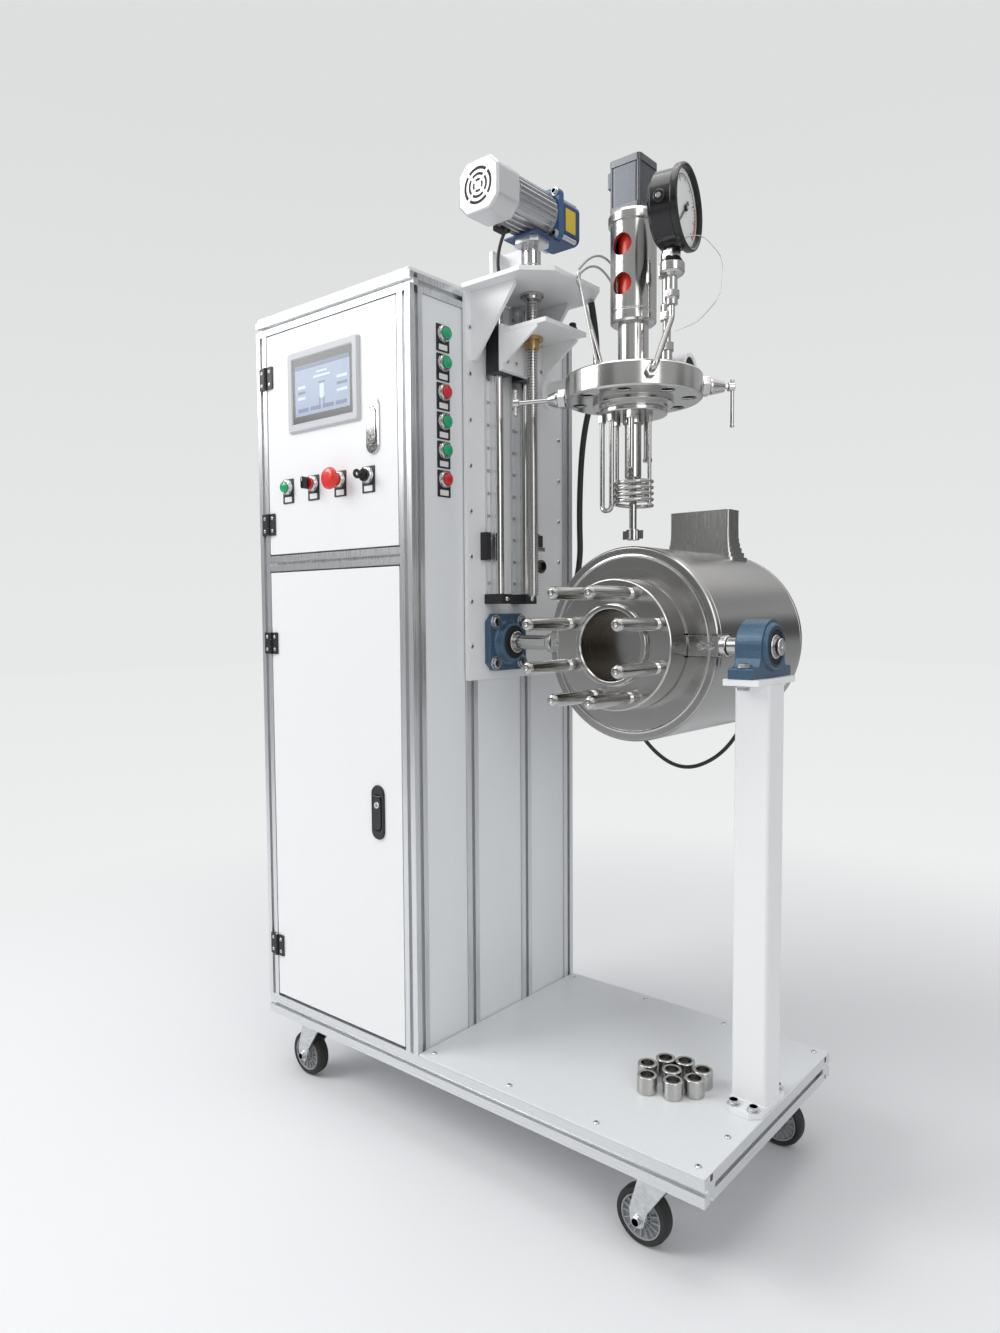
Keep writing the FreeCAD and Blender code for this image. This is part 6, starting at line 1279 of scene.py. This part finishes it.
# Trunnions: round bars welded to flat tongues, which are screwed to the vessel's lugs with two
# screws each; the right one ends in the pillow block, the left one in the flange bearing.
bars = bmesh.new()
for side, boss_x, outer_x in ((-1, 554, 438), (1, 878, 975)):
    low_x, high_x = sorted((boss_x, 716 + side * 102.2))
    brick(bars, (low_x, 213, 859.2), (high_x, 225.9, 892.8), 0, 1.6, 3)
    end = abs(outer_x - boss_x)
    spin(bars, [(0, 0), (15.4, 0), (17, 1.6), (17, 10), (15.6, 12), (13, 12.6), (13, end - 1.5),
                (11.6, end), (3, end), (2.2, end - 2), (0, end - 3)], (boss_x, 226, 876),
         (side, 0, 0), 0, 48, 0.6)
    for out in (132.8, 147.9):
        spin(bars, [(0, 0), (6, 0), (6, 3.6), (5.2, 5.4), (3.2, 5.9), (3.1, 3.2), (0, 3.2)],
             (716 + side * out, 213, 876), FRONT, 1, 28, 0.3)
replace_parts(made("trunnion_bars", bars, "vessel", "stainless", steel_plain, zinc), "trunnions")

# Bearings: a cast flange bearing on the lift plate and a cast pillow block on the post, both in the
# same blue, with a steel insert, a dark seal and a grease nipple.
LEFT_BEARING = (434, 226, 876)  # where the left trunnion meets the lift plate
bearing_blue = finish("bearing_blue", (0.055, 0.112, 0.178), 0.32, 0.2, (420,) * 3, vary=0.14,
                      relief=0.35)
cast = bmesh.new()
seat = standing(LEFT_BEARING, SEEN_RIGHT)
slab(cast, [(-37.8, -52.5), (37.8, -52.5), (52.5, -37.8), (52.5, 37.8), (37.8, 52.5),
            (-37.8, 52.5), (-52.5, 37.8), (-52.5, -37.8)], 14, seat, 0, 2.2, 3)
spin(cast, [(13.6, 0), (44, 13), (40, 15), (37.5, 18), (34.6, 27), (33, 28.6), (29.6, 29),
            (29.6, 20), (13.6, 20)], LEFT_BEARING, RIGHT, 0, 64, 1, closed=True)
spin(cast, [(20, 20), (29.4, 20), (29.4, 28), (20, 28)], LEFT_BEARING, RIGHT, 2, 64, 0.6,
     closed=True)
spin(cast, [(13.2, 16), (19.8, 16), (19.8, 35), (18.6, 36), (13.2, 36)], LEFT_BEARING, RIGHT, 1, 64,
     0.5, closed=True)
for u in (-37.8, 37.8):
    for v in (-37.8, 37.8):
        spin(cast, [(0, 13), (11, 13), (11, 15.4), (9.6, 16.2), (0, 16.2)], (434, 226 + u, 876 + v),
             RIGHT, 0, 32, 0.5)
block_face = standing((920, 226, 830), SEEN_RIGHT)
side_line = [(68, 0), (68, 14.5), (66.5, 16), (49, 16), (46.6, 18)]
crown = arc(41.4, -6, 192, 30, (0, 46))
flank = [(45.6, 21), (42.6, 30)]
rising = side_line + flank
outline = [(-68, 0)] + rising + crown + [(-u, v) for u, v in rising[:0:-1]]
slab(cast, outline, 40, block_face, 0, 2.4, 3)
spin(cast, [(27, -6.9), (33.5, -5.6), (37, 0.6), (37, 39.4), (33.5, 45.6), (27, 46.9)],
     (920, 226, 876), RIGHT, 0, 64, 1.2, closed=True)
for start, along in ((920, -1), (960, 1)):
    spin(cast, [(18, -4), (31, -4), (31, 6.1), (29, 7.2), (27.6, 5), (20, 3.6), (18, 3.6)],
         (start, 226, 876), (along, 0, 0), 2, 64, 0.5, closed=True)
    spin(cast, [(13.2, -6), (18.6, -6), (18.6, 5.4), (17.4, 6.8), (13.2, 6.8)], (start, 226, 876),
         (along, 0, 0), 1, 64, 0.5, closed=True)
for y in (226 - 57, 226 + 57):
    spin(cast, [(0, 845.6), (12, 845.6), (12, 847.4), (0, 847.4)], (940, y, 0), UP, 0, 32, 0.5)
spin(cast, [(0, 0), (3, 0), (3, 3), (2, 4), (2.6, 6), (1.4, 8), (0, 8)], (948, 258, 905),
     (0.3, 0.7, 0.65), 1, 20, 0.3)
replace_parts(made("bearing_castings", cast, "base", "blue_cast", bearing_blue, steel_plain,
                 black_parts_and_painted_hole_shade), "bearing_housings")

# Post: a square steel tube with rounded edges, welded between a foot plate with clipped corners and
# the head plate under the pillow block, and powder coated.
post = bmesh.new()
slab(post, [(-14.5, -56), (14.5, -56), (28.5, -42), (28.5, 42), (14.5, 56), (-14.5, 56),
            (-28.5, 42), (-28.5, -42)], 9.8, standing((940, 226, 168.1), Matrix()), 0, 1, 2)
slab(post, rounded(56, 56, 5, 5), 642.6, standing((940, 226, 177.7), Matrix()), 0, 0)
for z in (177.9, 820 - 2.2):
    slab(post, rounded(61, 61, 7, 5), 2.2, standing((940, 226, z), Matrix()), 0, 0.8, 2)
brick(post, (911.6, 159.2, 820), (968.4, 292.8, 829.9), 0, 1.2, 2)
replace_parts(made("post_tube_and_plates", post, "base", "white_sheet", bright_white), "support_post")

# Lid and drive housing: the lid is a turned flange with a two-step spigot under it, eight bolt
# holes and three ports in its rim. The housing on it is turned too and has two round windows.
HEAD_AXIS = (at(*HEAD), "Z")
steel_head = finish("steel_head", (0.54, 0.535, 0.52), 0.17, 1.0, (2600, 2600, 1), HEAD_AXIS,
                    vary=0.06, relief=0.03, gloss=0.04)
cover = bmesh.new()
spin(cover, [(6.3, 1251), (54, 1251), (55.5, 1252.5), (55.5, 1258), (54.4, 1258.6), (54.4, 1260.4),
             (55.5, 1261), (56.5, 1266), (65, 1266), (66, 1267), (66, 1274), (109, 1274),
             (112, 1277), (112, 1311), (109.4, 1314), (6.3, 1314)], HEAD, UP, 0, 144, 0.6,
     closed=True)
lid = made("lid_turned", cover, "lift", "stainless", steel_head)
drills = bmesh.new()
for number in range(8):
    angle = math.radians(22.5 + 45 * number)
    foot = (716 + 90 * math.cos(angle), 226 + 90 * math.sin(angle), 0)
    spin(drills, [(0, 1268), (12.5, 1268), (12.5, 1275), (11.5, 1276), (11.5, 1312.6), (13, 1314.2),
                  (13, 1320), (0, 1320)], foot, UP, 0, 40, 0.2)
for across, back, rise in ((0.7071, -0.7071, 1294), (0.7071, 0.7071, 1301),
                           (-0.9397, -0.342, 1289)):
    spin(drills, [(0, -12), (6, -12), (6, 0), (8.5, 0.6), (8.5, 6), (0, 6)],
         (716 + 111 * across, 226 + 111 * back, rise), (across, back, 0), 0, 32, 0.2)
cut_from(lid, [drills])
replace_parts(lid, "lid_flange")
tower = bmesh.new()
spin(tower, [(6.3, 1314.1), (32, 1314.1), (32, 1323), (25.5, 1323.4), (25, 1324), (25, 1397),
             (34, 1397), (37.5, 1400.5), (37.5, 1414), (36.6, 1414.6), (36.6, 1416.4), (37.5, 1417),
             (37.5, 1554.4), (41, 1555), (41, 1567), (38.4, 1572), (31.5, 1572), (31.5, 1405),
             (6.3, 1405)], HEAD, UP, 0, 112, 0.6, closed=True)
housing = made("drive_housing_turned", tower, "lift", "stainless", steel_head)
panes = bmesh.new()
for z in (1455, 1517):
    spin(panes, [(0, 20), (17, 20), (17, 36.4), (18.2, 38), (18.2, 60), (0, 60)], (716, 226, z),
         FRONT, 0, 56, 0.2)
cut_from(housing, [panes])
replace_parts(housing, "drive_housing")
rings = bmesh.new()
for number in range(6):
    angle = math.radians(15 + 60 * number)
    socket_head(rings, (716 + 28.4 * math.cos(angle), 226 + 28.4 * math.sin(angle), 1323), UP, 2.6,
                1.6, 0, 1)
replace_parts(made("housing_foot_screws", rings, "lift", "stainless", steel_plain, black_parts_and_painted_hole_shade),
            "drive_housing")

# Needle and seal: a slim black pointer with a round tail on a hub, at zero, at the lower left of
# the dial, and a thin wire that hangs from the gauge's neck in a loop.
needle = bmesh.new()
dial_seen = facing(GAUGE_AT, GAUGE_ALONG) @ Matrix.Translation((0, 0, 0.0426))
upright = dial_seen.to_3x3().inverted() @ Vector((0, 0, 1))
aside = dial_seen.to_3x3().inverted() @ Vector((GAUGE_ALONG[1], -GAUGE_ALONG[0], 0))
lean = Matrix.Rotation(math.atan2(upright.y, upright.x), 4, "Z")
handed = 1 if upright.cross(aside).z > 0 else -1
swing = Matrix.Rotation(handed * math.radians(135), 4, "Z")
slab(needle, [(-17, -2.6), (-14, -3.2), (-4, -1.7), (30, -1.1), (46, 0), (30, 1.1), (-4, 1.7),
              (-14, 3.2), (-17, 2.6)], 1.1, dial_seen @ swing @ lean, 0, 0.25, 1)
spin(needle, [(2.1, 42.5), (5, 42.5), (5, 44.6), (4.2, 45.5), (2.1, 45.5)], GAUGE_AT, GAUGE_ALONG,
     0, 32, 0.3, closed=True)
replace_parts(made("needle_pointer", needle, "gauge_needle_body", "black_metal", black_gloss),
            "gauge_needle")
wire = bmesh.new()
pipe(wire, bent([(825, 160, 1480), (862, 176, 1492), (893, 190, 1450), (889, 190, 1396),
                 (858, 178, 1362), (826, 166, 1352)], 40), 0.6, 0, 10)
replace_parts(made("seal_wire", wire, "lift", "stainless", polished), "lid_fittings")

# Sheets: the deck, the lift plate and the cabinet's panels are cut from sheet and powder coated,
# with broken edges. The cabinet's top panel is thicker and has rounder edges all round.
white_coat = finish("white_coat", (0.80, 0.815, 0.825), 0.32, grain=(700,) * 3, vary=0.012,
                    relief=0.05)
sheets = bmesh.new()
slab(sheets, rounded(543.8, 459.8, 3, 3, (698, 230)), 2.9, Matrix.Translation(at(0, 0, 165.05)), 0,
     0.7, 2)
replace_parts(made("deck_sheet", sheets, "base", "white_sheet", white_coat), "deck_plate")
plate = bmesh.new()
slab(plate, rounded(280.8, 685.8, 4, 4, (140.5, 343)), 7.9, standing((426.1, 129, 808), SEEN_RIGHT),
     0, 0.9, 2)
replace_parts(made("lift_plate_sheet", plate, "base", "white_sheet", bright_white), "lift_plate")
panels = bmesh.new()
for low, high in (
        ((3, 30.3, 165.2), (6, 429.7, 1464.8)), ((30.3, 454, 165.2), (395.7, 457, 1464.8)),
        ((420, 30.3, 165.2), (423, 132.7, 1464.8)), ((420, 163.3, 165.2), (423, 289.7, 1464.8)),
        ((420, 320.3, 165.2), (423, 429.7, 1464.8)), ((30.3, 30.3, 165.1), (395.7, 429.7, 168))):
    brick(panels, low, high, 0, 0.6, 1)
slab(panels, rounded(425.8, 459.8, 5, 4, (213, 230)), 5.9, Matrix.Translation(at(0, 0, 1495.05)), 0,
     1.3, 3)
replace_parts(made("cabinet_sheets", panels, "base", "white_sheet", white_coat), "cabinet_panels")

# Control gear: a zinc plate with two drive units, a supply, a rail of breakers and two blocks of
# relays, each with its vents, switches or terminals.
gear = bmesh.new()
brick(gear, (10, 451, 520), (416, 454, 1140), 0, 0.8, 1)
for x in (50, 160):
    brick(gear, (x, 341, 580), (x + 90, 450.9, 750), 1, 2.5, 2)
    brick(gear, (x + 12, 339.6, 690), (x + 78, 341.6, 738), 2, 0.8, 1)
    for row in range(9):
        brick(gear, (x + 12, 340.2, 592 + 9 * row), (x + 78, 341.4, 596 + 9 * row), 2, 0.4, 1)
brick(gear, (275, 374, 580), (345, 450.9, 730), 3, 1.4, 2)
for row in range(6):
    for column in range(4):
        spin(gear, [(0, 0), (4, 0), (4, 0.6), (0, 0.6)], (288 + 15 * column, 374, 600 + 14 * row),
             FRONT, 2, 16, 0.2)
brick(gear, (44, 446, 862), (356, 451, 882), 0, 0.6, 1)
for number in range(16):
    x = 50.4 + 18.75 * number
    brick(gear, (x, 402, 850), (x + 17.9, 445.9, 895), 1 if number % 5 else 4, 1.2, 1)
    brick(gear, (x + 5, 396.5, 866), (x + 13, 402.4, 879), 2, 1, 1)
for x, wide in ((50, 130), (200, 150)):
    brick(gear, (x, 400, 970), (x + wide, 450.9, 1065), 3, 1.2, 1)
    for number in range(int(wide / 10)):
        brick(gear, (x + 2 + 10 * number, 388, 980), (x + 9.6 + 10 * number, 400.3, 1052),
              5 if number % 2 else 4, 0.8, 1)
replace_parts(made("control_gear_units", gear, "base", "grey_plastic", zinc, grey_plastic,
                 black_plastic, rail_x, label_white, green_lens), "control_gear")
